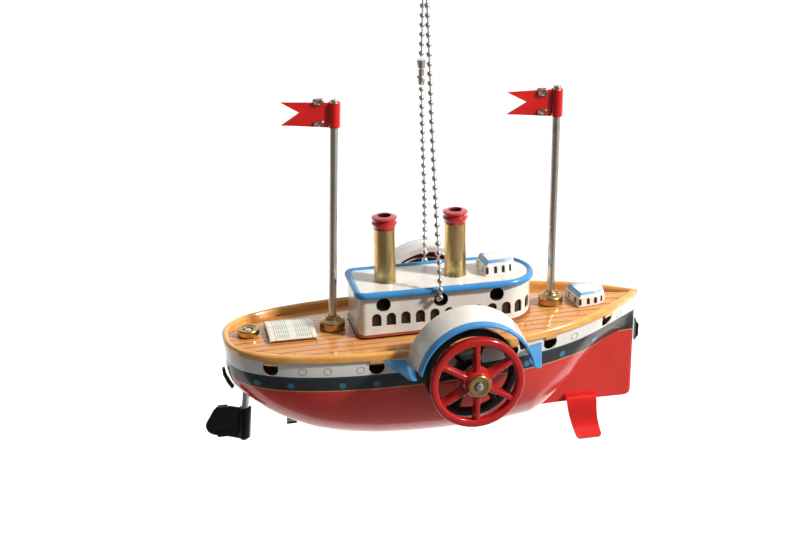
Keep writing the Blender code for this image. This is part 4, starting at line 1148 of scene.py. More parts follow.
def wall_places():
    """The cabin wall's plan as run length, points and outward normals, from mid aft wall by starboard."""
    ring = house_plan(CABIN, 0.0, 120, 16, 60)
    start = int(np.argmin(ring[:, 0] * 1000.0 + np.abs(ring[:, 1])))
    ring = np.roll(ring, -start, 0)
    ring = np.concatenate([ring, ring[:1]])
    way = lengths(ring)
    goal = np.linspace(0.0, way[-1], 561)
    line = np.stack([np.interp(goal, way, ring[:, 0]), np.interp(goal, way, ring[:, 1])], -1)
    run = np.gradient(line, axis=0)
    run[0] = run[-1] = (0.0, run[0, 1])
    normal = unit(np.stack([run[:, 1], -run[:, 0]], -1))
    return goal[:-1], line[:-1], normal[:-1], way[-1]


def cabin_openings(way, line, total):
    """Run along the wall, height and outline of every window and round hole."""

    def run_at(x, side):
        near = np.abs(line[:, 1] - side * CABIN[2]) < 0.01
        order = np.argsort(line[near, 0])
        return float(np.interp(x, line[near, 0][order], way[near][order]))

    half, sill, head = WINDOW
    middle = (sill + head) / 2.0
    arch = arch_reach(half, middle - sill, head - half - middle)
    hole = round_reach(CABIN_HOLE_R)
    openings = []
    for side in (-1.0, 1.0):
        runs = [run_at(x, side) for x in WINDOW_X]
        sign = 1.0 if runs[1] > runs[0] else -1.0
        runs.append(runs[-1] + sign * WINDOW_PITCH)
        edge = run_at(CABIN[1], side)
        runs += [edge + sign * CABIN[2] * (math.pi / 2 - k * math.pi / 7.0) for k in BOW_WINDOWS]
        openings += [(run % total, middle, arch) for run in runs]
    return openings + [(run_at(x, side), CABIN_HOLE_Z, hole) for x in CABIN_HOLES for side in (-1.0, 1.0)]


def make_cabin():
    """Cabin wall with punched arched windows, round holes under the roof and a folded foot; its inner face
    and a liner inside are painted dark as shade.

    A point of the wall is the plan at a run and a level; below the sill the levels bend with the deck.
    """
    way, line, normal, total = wall_places()
    if np.sum(normal * (line - (CABIN[1] - 10.0, 0.0))) < 0.0:
        normal = -normal
    sill, head = WINDOW[1:]
    levels = np.concatenate([
        sill * np.linspace(0.0, 1.0, 9),
        sill + (head - sill) * np.linspace(0.0, 1.0, 18)[1:],
        head + (CABIN_TOP - head) * np.linspace(0.0, 1.0, 22)[1:],
    ])[:, None]
    ground = deck_z(line[:, 0], line[:, 1])
    share = np.clip(levels / sill, 0.0, 1.0)
    z = np.where(levels < sill, (ground + 1.25) * (1 - share) + sill * share, levels)
    outer = np.stack(np.broadcast_arrays(line[:, 0], line[:, 1], z), -1)
    outer = np.concatenate([outer, outer[:, :1]], 1)
    out = np.concatenate([normal, np.zeros((len(normal), 1))], 1)
    inner = outer - np.concatenate([out, out[:1]]) * size("tin")
    along = np.cross(UP, np.concatenate([out, out[:1]]))
    if np.sum(along[200, :2] * (line[201] - line[200])) < 0.0:
        along = -along
    along = np.broadcast_to(along, outer.shape)
    keep = np.ones((z.shape[0] - 1, z.shape[1]), bool)
    for run, height, reach in cabin_openings(way, line, total):
        off = np.broadcast_to(np.concatenate([way, [total]]) - run, outer.shape[:2])
        flat = np.stack([off, outer[..., 2] - height], -1)
        punch((outer, inner), keep, flat, along, UP, reach)
    # The wall's inner face is painted near black as shade, so the windows look dark.
    parts = shell_part(outer, inner, "white", keep, lining="inside")
    foot = []
    for reach, lift in ((0.58, 0.9), (0.6, 1.02), (0.5, 1.12), (0.12, 1.3), (0.05, 1.6), (0.0, 1.6)):
        x, y = (line + normal * reach).T
        foot.append(np.stack([x, y, deck_z(x, y) + lift], -1))
    foot.append(np.stack([line[:, 0], line[:, 1], ground + 0.92], -1) - out * 0.2)
    parts.append(sheet_part(np.array(foot), "foot_line", (True, True)))
    # A dark liner box inside the cabin: painted shade seen through the windows.
    painted_shade_liner = []
    for inset, height in ((0.9, 2.4), (0.9, 9.3), (4.0, 9.3), (4.0, 9.1), (1.2, 9.1), (1.2, 2.4)):
        ring = house_plan(CABIN[:3] + (max(CABIN[3], inset + 0.5),), inset)
        painted_shade_liner.append(np.concatenate([ring, np.full((len(ring), 1), height)], 1))
    parts.append(sheet_part(np.array(painted_shade_liner), "inside", (True, True)))
    parts.append(bridge(painted_shade_liner[2], "inside"))
    build("cabin_wall", "ship", parts, ["cabin"])


def make_roof():
    """White roof plate inside a blue rolled bead that turns down over the wall; its underside is painted dark
    as shade.

    Each ring is the cabin's plan at an inset and a height; the pairs run round the bead's section.
    """
    edge = ((0.85, 15.06), (0.72, 14.82), (0.45, 14.78), (0.12, 15.2), (0.02, 15.85), (0.24, 16.58),
            (0.85, 17.08), (1.25, 17.15), (1.65, 17.08), (2.1, 16.75), (2.5, 16.42))

    def ring(inset, height):
        flat = house_plan(ROOF_PLAN, inset)
        return np.concatenate([flat, np.full((len(flat), 1), height)], 1)

    blue = np.array([ring(inset, height) for inset, height in smooth(edge, 34)])
    white = np.array([ring(2.5, 16.42), ring(2.8, ROOF_Z - 0.02), ring(4.2, ROOF_Z)])
    # The underside below the bead is painted near black as shade.
    low = np.array([ring(0.85, 15.06), ring(1.0, 15.14), ring(2.2, 15.15), ring(4.2, 15.15)])
    parts = [
        sheet_part(blue, "blue", (False, True)),
        sheet_part(white, "white", (False, True)),
        bridge(white[-1], "white"),
        sheet_part(low, "inside", (False, True)),
        bridge(low[-1], "inside"),
    ]
    build("roof_plate", "ship", parts, ["roof"])


def house_rings(house, profile):
    """The D-shaped plan, turned a little, at each inset, lift and extra inset of its aft wall.

    The foot stands on the crowned deck, and the ring is level from a lift of 1.2 mm on.
    """
    aft, centre, half, base, wall, height, turn, shift = house
    angle, middle = math.radians(turn), (aft + centre) / 2.0
    rings = []
    for inset, lift, extra in profile:
        x, y = house_plan((aft + extra, centre, half, 1.0), inset, 90, 12, 40).T
        px = middle + (x - middle) * math.cos(angle) - y * math.sin(angle)
        py = shift + (x - middle) * math.sin(angle) + y * math.cos(angle)
        ground = np.full(len(px), base - 0.25)
        if base < ROOF_Z:
            ground = np.maximum(base, deck_z(px, py) + 0.35)
        share = min(1.0, lift / 1.2)
        rings.append(np.stack([px, py, (ground * (1 - share) + base * share) + lift], -1))
    return np.array(rings)


def house_ink(house, profile, white):
    """The colour of each point of the rings: white, a blue roof edge that fades forwards, dark windows."""
    aft, centre, half, base, wall, height, turn, shift = house
    blue = np.array(colour("blue") + (1.0,))
    dark = np.array((0.012, 0.009, 0.008, 1.0))
    ring = house_plan((aft, centre, half, 1.0), 0.0, 90, 12, 40)
    lifts, insets = np.repeat(profile[:, 1], len(ring)), np.repeat(profile[:, 0], len(ring))
    behind = np.tile(ring[:, 0] < aft + 0.9, len(profile))
    ahead = np.tile(np.clip((ring[:, 0] - aft) / (centre + half - aft), 0.0, 1.0), len(profile))
    beyond = np.tile(ring[:, 1] > 0.5 * half, len(profile))
    edge = (lifts > np.where(behind, wall - 0.1, wall + 0.7)) & (insets < np.where(behind, 1.25, 1.5))
    edge |= beyond & (insets > 1.0)
    strength = (edge * (1.0 - 0.6 * ahead))[:, None]
    ink = white * (1.0 - strength) + blue * strength
    gaps = np.linalg.norm(np.diff(np.concatenate([ring, ring[:1]]), axis=0), axis=1)
    total = float(np.sum(gaps))
    along = np.tile(np.concatenate([[0.0], np.cumsum(gaps)])[:-1], len(profile))
    bow, straight = math.pi * half, centre - aft
    spots = []
    for off in HOUSE_WINDOWS:
        spots += [off - straight, bow - (off - straight)]
    mid = bow + straight + half
    spots += [mid - HOUSE_AFT_WINDOW, mid + HOUSE_AFT_WINDOW]
    tall = lifts - HOUSE_WINDOW_Z
    for spot in spots:
        near = np.abs(along - spot % total)
        near = np.minimum(near, total - near)
        reach = arch_reach(*HOUSE_ARCH)(np.arctan2(tall, near))
        ink = np.where(((np.hypot(near, tall) < reach) & (insets < 0.5))[:, None], dark, ink)
    return ink


def make_houses():
    """Two pressed houses: upright walls under a flat roof with a short rounded edge.

    Each ring of a house is its plan at an inset, a height and an extra inset of the aft wall.
    """
    white = np.array(colour("white") + (1.0,))
    for name, house in HOUSES.items():
        wall, height = house[4:6]
        rise = height - wall
        profile = smooth((
            (-0.02, 0.0, 0.0), (0.03, 0.3, 0.0), (0.3, wall - 1.0, 0.0), (0.42, wall - 0.3, 0.1),
            (0.6, wall, 0.3), (0.8, wall + 0.5 * rise, 0.4), (1.1, wall + 0.85 * rise, 0.5),
            (2.0, height - 0.02, 0.7),
        ), 60)
        grid = house_rings(house, profile)
        top = grid[-1]
        heart = top.mean(0)
        middle = top * (0.5, 0.5, 1.0) + heart * (0.5, 0.5, 0.0)
        roof = np.array([top, middle, top * 0.02 + heart * 0.98])
        floor = np.array([grid[0], grid[0] * 0.02 + grid[0].mean(0) * 0.98])
        parts = [sheet_part(rows, "print", (False, True)) for rows in (grid, roof, floor)]
        rest = np.tile(white, (len(parts[1][0]) + len(parts[2][0]), 1))
        ink = np.concatenate([house_ink(house, profile, white), rest])
        build(name + "_tin", "ship", parts, [name], ink=ink)


def make_funnels():
    """Brass tubes with a folded seam, and red caps: two sharp lips, a groove between and a hole whose bore
    and plug are painted dark as shade.
    """
    low = ROOF_Z + 0.05
    tube = ((4.3, low), (4.25, low + 0.25), (4.05, low + 0.6), (4.0, low + 3.0), (4.0, FUNNEL_TOP),
            (3.3, FUNNEL_TOP), (3.3, low + 1.0), (3.3, low))
    seam = rounded(((-0.5, -0.13), (0.5, -0.13), (0.5, 0.13), (-0.5, 0.13)), 0.1)
    spin = math.radians(-38.0)
    out = np.array((math.cos(spin), math.sin(spin), 0.0))
    base = FUNNEL_TOP + 0.02
    cap = rounded((
        (2.4, base), (4.15, base), (4.2, base + 1.3), (4.7, base + 1.8), (4.75, base + 2.45),
        (4.2, base + 2.8), (3.9, base + 3.05), (3.9, base + 3.4), (4.2, base + 3.65), (4.75, base + 4.0),
        (4.7, base + 4.55), (3.6, CAP_TOP - 0.2), (2.6, CAP_TOP - 0.02), (2.4, CAP_TOP - 0.25),
    ), 0.13, 3)
    # The bore and a disc down in the hole are painted near black as shade, so the hole looks dark.
    bore = ((2.4, base + 0.1), (2.4, CAP_TOP - 0.5), (2.3, CAP_TOP - 0.5), (2.3, base + 0.1))
    painted_shade_plug = ((2.35, 39.2), (2.35, 39.4))
    for label, x in FUNNELS.items():
        foot = (x, 0.0, 0.0)
        run = np.linspace((x, 0.0, low + 0.6), (x, 0.0, FUNNEL_TOP), 12) + out * 4.02
        parts = [turned(tube, foot, UP, "brass", 96, ends=False)]
        parts.append(swept(run, seam, "brass", (-out[1], out[0], 0.0)))
        build("funnel_%s_tube" % label, "ship", parts, ["funnel_" + label])
        parts = [turned(cap, foot, UP, "cap_red", 72, ends=False)]
        parts.append(turned(bore, foot, UP, "inside", 48, ends=False))
        parts.append(turned(painted_shade_plug, foot, UP, "inside", 48))
        build("funnel_%s_cap" % label, "ship", parts, ["funnel_cap_" + label])


def make_masts():
    """Nickel rods in turned brass feet; both lean by the same slope."""
    for label, (x, lean, top) in MASTS.items():
        ground = float(deck_z(x, 0.0)) + 0.3
        rod = ((1.2, ground), (1.5, ground + 0.3), (1.5, top - 0.5), (1.3, top - 0.12), (0.9, top))
        parts = [turned(rod, (x, 0.0, 0.0), (lean, 0, 1), "nickel", 40)]
        build("mast_%s_rod" % label, "ship", parts, ["mast_" + label])
        foot = rounded((
            (1.7, ground), (4.7, ground), (4.7, ground + 2.5), (4.45, ground + 3.0), (3.6, ground + 3.35),
            (2.9, ground + 3.75), (2.6, ground + 4.3), (2.4, ground + 4.9), (1.7, ground + 4.9),
        ), 0.3, 4)
        parts = [turned(foot, (x, 0.0, 0.0), (lean, 0, 1), "base_brass", 72, ends=False)]
        build("mast_%s_foot" % label, "ship", parts, ["mast_base_" + label])


def make_flags():
    """Red swallow-tailed flags folded round the masts, with crumpled bare crimp tabs.

    A flag point is a share u from mast to tip and v from foot to head; the tip is pulled in by 1 - |2v - 1|.
    """
    for label, (tip, notch, low, high, tip_low, tip_high) in FLAGS.items():
        x0, lean, top = MASTS[label]
        u = np.linspace(0.0, 1.0, 40)[None]
        v = np.linspace(0.0, 1.0, 25)[:, None]
        x_mast = x0 + lean * (low + (high - low) * v)
        end = tip + (notch - tip) * (1.0 - np.abs(2.0 * v - 1.0))
        start = x_mast - 2.0
        x = start + (end - start) * u
        z = (low + (high - low) * v) * (1 - u) + (tip_low + (tip_high - tip_low) * v) * u
        y = 0.35 * np.sin(u * 3.0) * (1 - v * 0.4) * u
        near = np.stack([x, y - 0.3, z], -1)
        far = np.stack([x, y + 0.3, z], -1)
        parts = shell_part(near, far, "bright_red")
        turn = np.linspace(-2.7, 2.7, 44)
        around = np.stack([np.cos(turn), np.sin(turn)], -1)
        height = np.linspace(low, high, 12)
        middle = x0 + lean * height[:, None]
        walls = []
        for reach in (2.2, 1.75):
            flat = middle + reach * around[None, :, 0]
            walls.append(np.stack(np.broadcast_arrays(flat, reach * around[None, :, 1], height[:, None]), -1))
        parts += shell_part(walls[0], walls[1], "bright_red")
        for x_at, z_at, tall in FLAG_TABS[label]:
            a = np.linspace(-1.0, 1.0, 15)[:, None]
            b = np.linspace(-1.0, 1.0, 11)[None]
            square = 1.0 - 0.18 * a ** 4 * b ** 4
            px = x_at + 2.0 * a * square
            pz = z_at + tall * b * square
            for side in (-1.0, 1.0):
                lift = 0.55 + 0.28 * np.sin(3.1 * a + 1.3 * side) * np.cos(2.6 * b)
                lift += 0.12 * np.sin(7.0 * a - 4.0 * b)
                fade = np.clip((1.0 - a * a) * (1.0 - b * b) * 6.0, 0.0, 1.0)
                outer = np.stack([px, side * (0.34 + lift * fade), pz], -1)
                inner = np.stack([px, np.full_like(px, side * 0.3), pz], -1)
                parts += shell_part(outer, inner, "tab")
        build("flag_%s_sheet" % label, "ship", parts, ["flag_" + label])


def make_paddle_boxes():
    """Arched covers that droop outwards: white with a blue outer band, and a narrow inner flange; their inner
    face is painted dark as shade.

    A point is centre + radius (cos t, sin t), where y, radius and centre run along the box's section.
    """
    turn = np.radians(np.linspace(BOX_ANGLES[0], BOX_ANGLES[1], 120))[:, None]
    rows = np.array(BOX_PROFILE)
    bend = rounded(rows[:, :2], 0.4, 4, closed=False)
    fine = [bend[:1]]
    for start, stop in zip(bend[:-1], bend[1:]):
        count = max(1, int(round(float(np.linalg.norm(stop - start)) / 0.55)))
        fine.append(start + (stop - start) * np.linspace(0.0, 1.0, count + 1)[1:, None])
    bend = np.concatenate(fine)
    split = int(np.argmin(np.abs(bend[:, 0] - BOX_BLUE_Y)))
    y, radius = bend.T
    cx, cz = (np.interp(y, rows[1:5, 0], rows[1:5, k]) for k in (2, 3))
    x, z = cx + radius * np.cos(turn), cz + radius * np.sin(turn)
    for label, side in SIDES:
        grid = np.stack([x, np.broadcast_to(side * y, x.shape), z], -1)
        inner = wall_of(grid, BOX_TIN)
        centre = np.array((0.0, side * 36.0, AXLE_Z))
        if np.linalg.norm(inner[60, split] - centre) > np.linalg.norm(grid[60, split] - centre):
            inner = wall_of(grid, BOX_TIN, flip=True)
        parts = []
        for part, finish in ((slice(0, split + 1), "white"), (slice(split, None), "blue")):
            # The inner face takes the dark lining: painted shade inside the box.
            parts += shell_part(grid[:, part], inner[:, part], finish, lining="shade")
        build("paddle_box_%s_tin" % label, "ship", parts, ["paddle_box_" + label])


def make_brackets():
    """Blue brackets from the feet of the paddle boxes to the hull, their corners rounded and edges rolled.

    The outline shrinks towards its middle in rings; height falls outwards in a straight line.
    """
    share = np.array((0.0, 0.02, 0.06, 0.12, 0.25, 0.5, 0.75, 0.97))[:, None, None]
    roll = 0.22 * np.exp(-(share[..., 0] / 0.05) ** 2)
    for label, side in SIDES:
        for end, corners in SPONSONS.items():
            line = rounded(corners, 0.7, 4)
            rings = line + (line.mean(0) - line) * share
            x, y = rings[..., 0], rings[..., 1]
            fall = -2.5 - 2.6 * (y - 26.6) / 15.8
            away = np.hypot(x - DIMPLE[0], y - DIMPLE[1])
            dimple = 0.3 * np.exp(-(away / 0.8) ** 2) if end == "fore" else 0.0
            top = np.stack([x, side * y, fall - roll - dimple], -1)
            low = np.stack([x, side * y, fall - 0.5 + roll * 0.4 - dimple], -1)
            grids = [top, low, np.array([top[0], low[0]])]
            grids += [np.array([ring, ring * 0.01 + ring.mean(0) * 0.99]) for ring in (top[-1], low[-1])]
            parts = [sheet_part(grid, "blue", (False, True)) for grid in grids]
            name = "sponson_%s_%s" % (end, label)
            build(name + "_tin", "ship", parts, [name])


def make_wheels():
    """Cast six-spoked wheels, red outside and black inside, brass washers and the steel axle."""
    inner = WHEEL_R - WHEEL_RIM
    rim = rounded(((inner, 3.2), (inner, 0.3), (inner + 0.7, 0.0), (WHEEL_R - 0.6, 0.0), (WHEEL_R, 0.45),
                   (WHEEL_R, 3.2)), 0.6, 5)
    kinds = (("red", RED_FACE_Y, 30.0, HUB_RISE), ("black", BLACK_FACE_Y, 8.0, -0.6))
    for finish, face, phase, rise in kinds:
        hub = rounded(((1.65, -rise), (4.4, -rise), (5.0, -rise * 0.4 + 0.3), (5.5, 1.2), (5.5, 4.6),
                       (1.65, 4.6)), 0.4, 4)
        for label, side in SIDES:
            axis = (0.0, -side, 0.0)
            centre = (0.0, face * side, AXLE_Z)
            parts = [turned(rim, centre, axis, finish, 120, ends=False),
                     turned(hub, centre, axis, finish, 64, ends=False)]
            parts += spokes(centre, side, phase, rise, inner, finish)
            name = "wheel_%s_%s" % (finish, label)
            build(name + "_casting", "paddles", parts, [name])
    washer = rounded(((1.7, 0.0), (4.1, 0.0), (4.1, 0.75), (3.8, 1.0), (3.0, 1.0), (2.6, 0.85), (1.7, 0.85)),
                     0.25, 4)
    for label, side in SIDES:
        start = (0.0, side * (RED_FACE_Y + HUB_RISE + 0.05), AXLE_Z)
        parts = [turned(washer, start, (0, side, 0), "base_brass", 64, ends=False)]
        build("hub_%s_washer" % label, "paddles", parts, ["hub_washer_" + label])
    rod = ((0.5, -AXLE_HALF), (1.2, 0.15 - AXLE_HALF), (1.5, 0.6 - AXLE_HALF), (1.5, AXLE_HALF - 0.6),
           (1.2, AXLE_HALF - 0.15), (0.5, AXLE_HALF))
    parts = [turned(rod, (0, 0, AXLE_Z), (0, 1, 0), "chain", 40)]
    build("axle_rod", "paddles", parts, ["axle"])


def spokes(centre, side, phase, rise, inner, finish):
    """Six deep blades: a rounded section that flares at the hub and rim, carried outwards from the hub."""
    start = 4.3
    parts = []
    steps = np.linspace(0.0, 1.0, 16)
    flare = 1.0 + 0.75 * np.exp(-steps / 0.12) + 0.45 * np.exp(-(1 - steps) / 0.08)
    base = rounded(((-0.85, 0.0), (0.85, 0.0), (0.8, 1.3), (1.05, 3.8), (-1.05, 3.8), (-0.8, 1.3)), 0.4, 3)
    reach = start + (inner + 0.5 - start) * steps
    face = 0.35 - rise * 0.6 * (1.0 - steps)
    stretch = ((4.1 - face) / 3.8)[:, None] * (1.0 - 0.06 * steps[:, None])
    depth = face[:, None] + base[None, :, 1] * stretch
    wide = base[None, :, 0] * flare[:, None]
    for k in range(6):
        angle = math.radians(phase + 60.0 * k)
        out = np.array((math.cos(angle), 0.0, math.sin(angle)))
        across = np.array((-math.sin(angle), 0.0, math.cos(angle)))
        path = np.asarray(centre) + reach[:, None] * out
        grid = path[:, None] + wide[..., None] * across + depth[..., None] * np.array((0.0, -side, 0.0))
        parts.append(sheet_part(capped(grid), finish, (False, True)))
    return parts


def make_plate():
    """Arched printed plate on the after deck, its ends folded down: height falls as the square of y."""
    x = np.concatenate([[-68.5, -68.5, -68.35], np.linspace(-68.1, -51.3, 40), [-51.05, -50.9, -50.9]])
    fold = np.concatenate([[1.0, 0.5, 0.12], np.full(40, 0.0), [0.12, 0.5, 1.0]])
    y = np.linspace(-9.0, 9.0, 49)
    z = 1.65 - 1.3 * (y[None] / 9.0) ** 2 - fold[:, None]
    grid = np.stack([np.broadcast_to(x[:, None], z.shape), np.broadcast_to(y[None], z.shape), z], -1)
    grid[..., 2] = np.maximum(grid[..., 2], deck_z(grid[..., 0], grid[..., 1]) + 0.75)
    parts = shell_part(grid, grid - (0, 0, 0.4), "plate")
    build("skylight_plate", "ship", parts, ["skylight"])


def make_rudder():
    """Folded black blade on its bright rod, and the brass eyelet on deck.

    Each side of the blade is its outline drawn in to its middle in rings, and bulges by a square root.
    """
    axis = unit(ROD_LOW - ROD_TOP)
    length = float(np.linalg.norm(ROD_LOW - ROD_TOP))
    rod = ((0.85, -0.3), (1.3, -0.05), (1.55, 0.35), (1.55, length - 0.3), (1.2, length))
    build("rudder_rod", "rudder", [turned(rod, ROD_TOP, axis, "chain", 40)], ["rudder_post"])
    blade = rounded(((-79.4, -43.0), (-78.6, -30.0), (-84.0, -28.6), (-88.0, -28.2), (-89.6, -29.6),
                     (-92.8, -35.0), (-93.0, -36.6), (-92.0, -38.8), (-90.0, -40.0), (-84.0, -41.4)), 1.2, 4)
    t = np.linspace(0.0, 1.0, 12)[:, None, None]
    middle = blade.mean(0)
    rings = middle + (blade - middle) * (1.0 - t)
    bulge = 0.65 * np.minimum(1.0, (t * 12.0) ** 0.5) * np.ones(rings.shape[:2] + (1,))
    bulge[0] = 0.3
    faces = [np.concatenate([rings[..., :1], side * bulge, rings[..., 1:]], -1) for side in (-1.0, 1.0)]
    edge = np.array([faces[0][0], faces[1][0]])
    parts = [sheet_part(grid, "black", (False, True)) for grid in faces + [edge]]
    sleeve = rounded(((1.7, length - 13.4), (2.35, length - 13.4), (2.35, length - 1.1), (1.7, length - 1.1)),
                     0.2, 3)
    parts.append(turned(sleeve, ROD_TOP, axis, "black", 48, ends=False))
    tab = rounded(((-1.9, -1.0), (1.9, -1.0), (1.9, 1.0), (-1.9, 1.0)), 0.7)
    for x, z in ((-86.2, -29.3), (-87.0, -39.7)):
        for side in (-1.0, 1.0):
            path = np.linspace((x, side * 0.5, z), (x, side * 1.0, z), 3)
            parts.append(swept(path, tab, "black", AHEAD))
    build("rudder_sheet", "rudder", parts, ["rudder_blade"])
    ground = float(deck_z(ROD_TOP[0], 0.0)) + 0.45
    top = ground + 2.45
    eye = rounded(((1.85, ground), (3.9, ground), (4.1, ground + 0.3), (4.1, top - 0.35), (3.8, top),
                   (3.0, top), (2.6, top - 0.4), (1.85, top - 0.4)), 0.25, 4)
    parts = [turned(eye, (ROD_TOP[0], 0, 0), UP, "base_brass", 64, ends=False)]
    build("deck_eyelet", "ship", parts, ["rudder_eyelet"])


def make_foot():
    """One red strap through the fin: an S-shaped leg to starboard and a short folded end to port.

    Its middle line is rows of y, z, aft x and fore x. The strap is 0.4 mm to either side of that line, and
    its ends are rounded by a trim of 1.1 exp(-n / 2) at the nth row.
    """
    rows = (
        (-9.2, -54.2, 50.3, 60.5), (-7.0, -52.8, 50.0, 60.4), (-5.3, -50.8, 49.5, 60.2),
        (-4.5, -48.6, 48.9, 59.9), (-4.3, -46.0, 48.2, 59.6), (-4.2, -43.0, 47.6, 59.4),
        (-3.9, -40.6, 47.3, 59.4), (-3.2, -39.3, 47.2, 59.4), (-2.0, -38.9, 47.2, 59.4),
        (0.0, -38.9, 47.2, 59.4), (2.0, -38.9, 47.2, 59.4), (3.2, -39.3, 47.2, 59.4),
        (3.9, -40.6, 47.3, 59.4), (4.1, -42.6, 47.5, 59.4),
    )
    line = smooth(rows, 120)
    run = unit(np.gradient(line[:, :2], axis=0))
    up = np.stack([-run[:, 1], run[:, 0]], -1) * 0.4
    u = np.linspace(0.0, 1.0, 30)
    ends = np.minimum(np.arange(120), np.arange(120)[::-1])
    trim = 1.1 * np.exp(-ends / 2.0)
    x = (line[:, 2] + trim)[:, None] * (1 - u) + (line[:, 3] - trim)[:, None] * u
    top, low = (np.stack(np.broadcast_arrays(x, (line[:, 0] + way * up[:, 0])[:, None],
                                             (line[:, 1] + way * up[:, 1])[:, None]), -1)
                for way in (1.0, -1.0))
    build("foot_sheet", "ship", shell_part(top, low, "bright_red"), ["foot_strap"])


def make_chain():
    """Hollow balls and short links along the chain's path, with the connector over its two ends."""
    path = smooth_chain(CHAIN_PATH)
    way = lengths(path)
    balls = int(round(way[-1] / BALL_PITCH))
    pitch = way[-1] / balls

    def at(run):
        return np.stack([np.interp(run, way, path[:, k]) for k in range(3)], -1)

    middle = pitch * (np.arange(balls) + 0.5)
    centres = at(middle)
    turn = np.linspace(0.0, 2.0 * np.pi, 20, endpoint=False)
    tilt = np.linspace(0.0, np.pi, 13)
    round_x, round_y = np.sin(tilt)[:, None] * np.cos(turn), np.sin(tilt)[:, None] * np.sin(turn)
    ball = np.stack(np.broadcast_arrays(round_x, round_y, np.cos(tilt)[:, None]), -1) * size("ball")
    grid = centres[:, None, None] + ball[None]
    parts = [sheet_part(grid, "chain", (False, True))]
    ends = pitch * np.arange(1, balls)
    start, stop = at(ends - pitch * 0.25), at(ends + pitch * 0.25)
    run = unit(stop - start)
    side = unit(np.cross(run, AHEAD))
    other = np.cross(run, side)
    spin = turn[::2][None, :, None]
    ring = 0.36 * (np.cos(spin) * side[:, None] + np.sin(spin) * other[:, None])
    links = np.stack([start[:, None] + 0.02 * ring, start[:, None] + ring, stop[:, None] + ring,
                      stop[:, None] + 0.02 * ring], 1)
    parts.append(sheet_part(links, "chain", (False, True)))
    build("ball_chain", "ship", parts, ["chain"])
    low, high = np.array(CHAIN_PATH[-1]), np.array(CHAIN_PATH[0])
    length = float(np.linalg.norm(high - low))
    r = 1.75
    sleeve = ((0.7, 0.3), (r - 0.25, 0.45), (r, 1.1), (r, 3.2), (r - 0.35, 3.7), (r - 0.35, length - 3.7),
              (r, length - 3.2), (r, length - 1.1), (r - 0.25, length - 0.45), (0.7, length - 0.3))
    parts = [turned(sleeve, low, high - low, "chain", 40)]
    build("chain_coupling", "ship", parts, ["chain_connector"])


def smooth_chain(points):
    """The chain's path as a centripetal cubic through its points."""
    line = np.array(points)
    ahead = np.concatenate([line[:1], line, line[-1:]])
    p0, p1, p2, p3 = ahead[:-3], ahead[1:-2], ahead[2:-1], ahead[3:]
    d01 = np.maximum(np.linalg.norm(p1 - p0, axis=1), 1e-6)[:, None] ** 0.5
    d12 = np.maximum(np.linalg.norm(p2 - p1, axis=1), 1e-6)[:, None] ** 0.5
    d23 = np.maximum(np.linalg.norm(p3 - p2, axis=1), 1e-6)[:, None] ** 0.5
    m1 = d12 * ((p1 - p0) / d01 - (p2 - p0) / (d01 + d12) + (p2 - p1) / d12)
    m2 = d12 * ((p2 - p1) / d12 - (p3 - p1) / (d12 + d23) + (p3 - p2) / d23)
    m1[0] = (p2 - p1)[0]
    m2[-1] = (p2 - p1)[-1]
    t = np.linspace(0.0, 1.0, 24, endpoint=False)[None, :, None]
    p1, p2, m1, m2 = (v[:, None] for v in (p1, p2, m1, m2))
    return np.concatenate([hermite(t, 1.0, p1, p2, m1, m2).reshape(-1, 3), line[-1:]])


def make_clips():
    """Finishes for the crimp tabs, which stay the frame's own solids: black ends, bare tin at the keel."""
    for node in ("stem_clip", "stern_clip", "keel_tab_aft", "keel_tab_mid"):
        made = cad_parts[node]
        made.data.materials.clear()
        made.data.materials.append(keel_tin(node) if node.startswith("keel") else paint("black"))


# Operators


class STEAMER_OT_stage(bpy.types.Operator):
    """Makes the floor, the room, the key light and the camera."""

    bl_idname = "steamer.stage"
    bl_label = "Studio and camera"

    def execute(self, context):
        make_stage()
        return {"FINISHED"}


class STEAMER_OT_ball_chain(bpy.types.Operator):
    """Makes the chain's balls and links and its connector."""

    bl_idname = "steamer.ball_chain"
    bl_label = "Ball chain"

    def execute(self, context):
        make_chain()
        return {"FINISHED"}


class STEAMER_OT_hull(bpy.types.Operator):
    """Makes both hull halves and their printed ports."""

    bl_idname = "steamer.hull"
    bl_label = "Hull halves"

    def execute(self, context):
        make_hull()
        return {"FINISHED"}


class STEAMER_OT_deck(bpy.types.Operator):
    """Makes the rolled rim, the printed deck and the folded tabs."""

    bl_idname = "steamer.deck"
    bl_label = "Deck tray"

    def execute(self, context):
        make_deck()
        return {"FINISHED"}


class STEAMER_OT_cabin(bpy.types.Operator):
    """Makes the cabin wall with its openings, foot and an inside painted dark as shade."""

    bl_idname = "steamer.cabin"
    bl_label = "Cabin wall"

    def execute(self, context):
        make_cabin()
        return {"FINISHED"}


class STEAMER_OT_roof(bpy.types.Operator):
    """Makes the white roof plate and its blue bead."""

    bl_idname = "steamer.roof"
    bl_label = "Roof"

    def execute(self, context):
        make_roof()
        return {"FINISHED"}


class STEAMER_OT_houses(bpy.types.Operator):
    """Makes the wheelhouse and the deckhouse."""

    bl_idname = "steamer.houses"
    bl_label = "Houses"

    def execute(self, context):
        make_houses()
        return {"FINISHED"}


class STEAMER_OT_funnels(bpy.types.Operator):
    """Makes both funnels and their caps."""

    bl_idname = "steamer.funnels"
    bl_label = "Funnels"

    def execute(self, context):
        make_funnels()
        return {"FINISHED"}


class STEAMER_OT_masts(bpy.types.Operator):
    """Makes both masts and their feet."""

    bl_idname = "steamer.masts"
    bl_label = "Masts"

    def execute(self, context):
        make_masts()
        return {"FINISHED"}


class STEAMER_OT_flags(bpy.types.Operator):
    """Makes both flags and their crimp tabs."""

    bl_idname = "steamer.flags"
    bl_label = "Flags"

    def execute(self, context):
        make_flags()
        return {"FINISHED"}


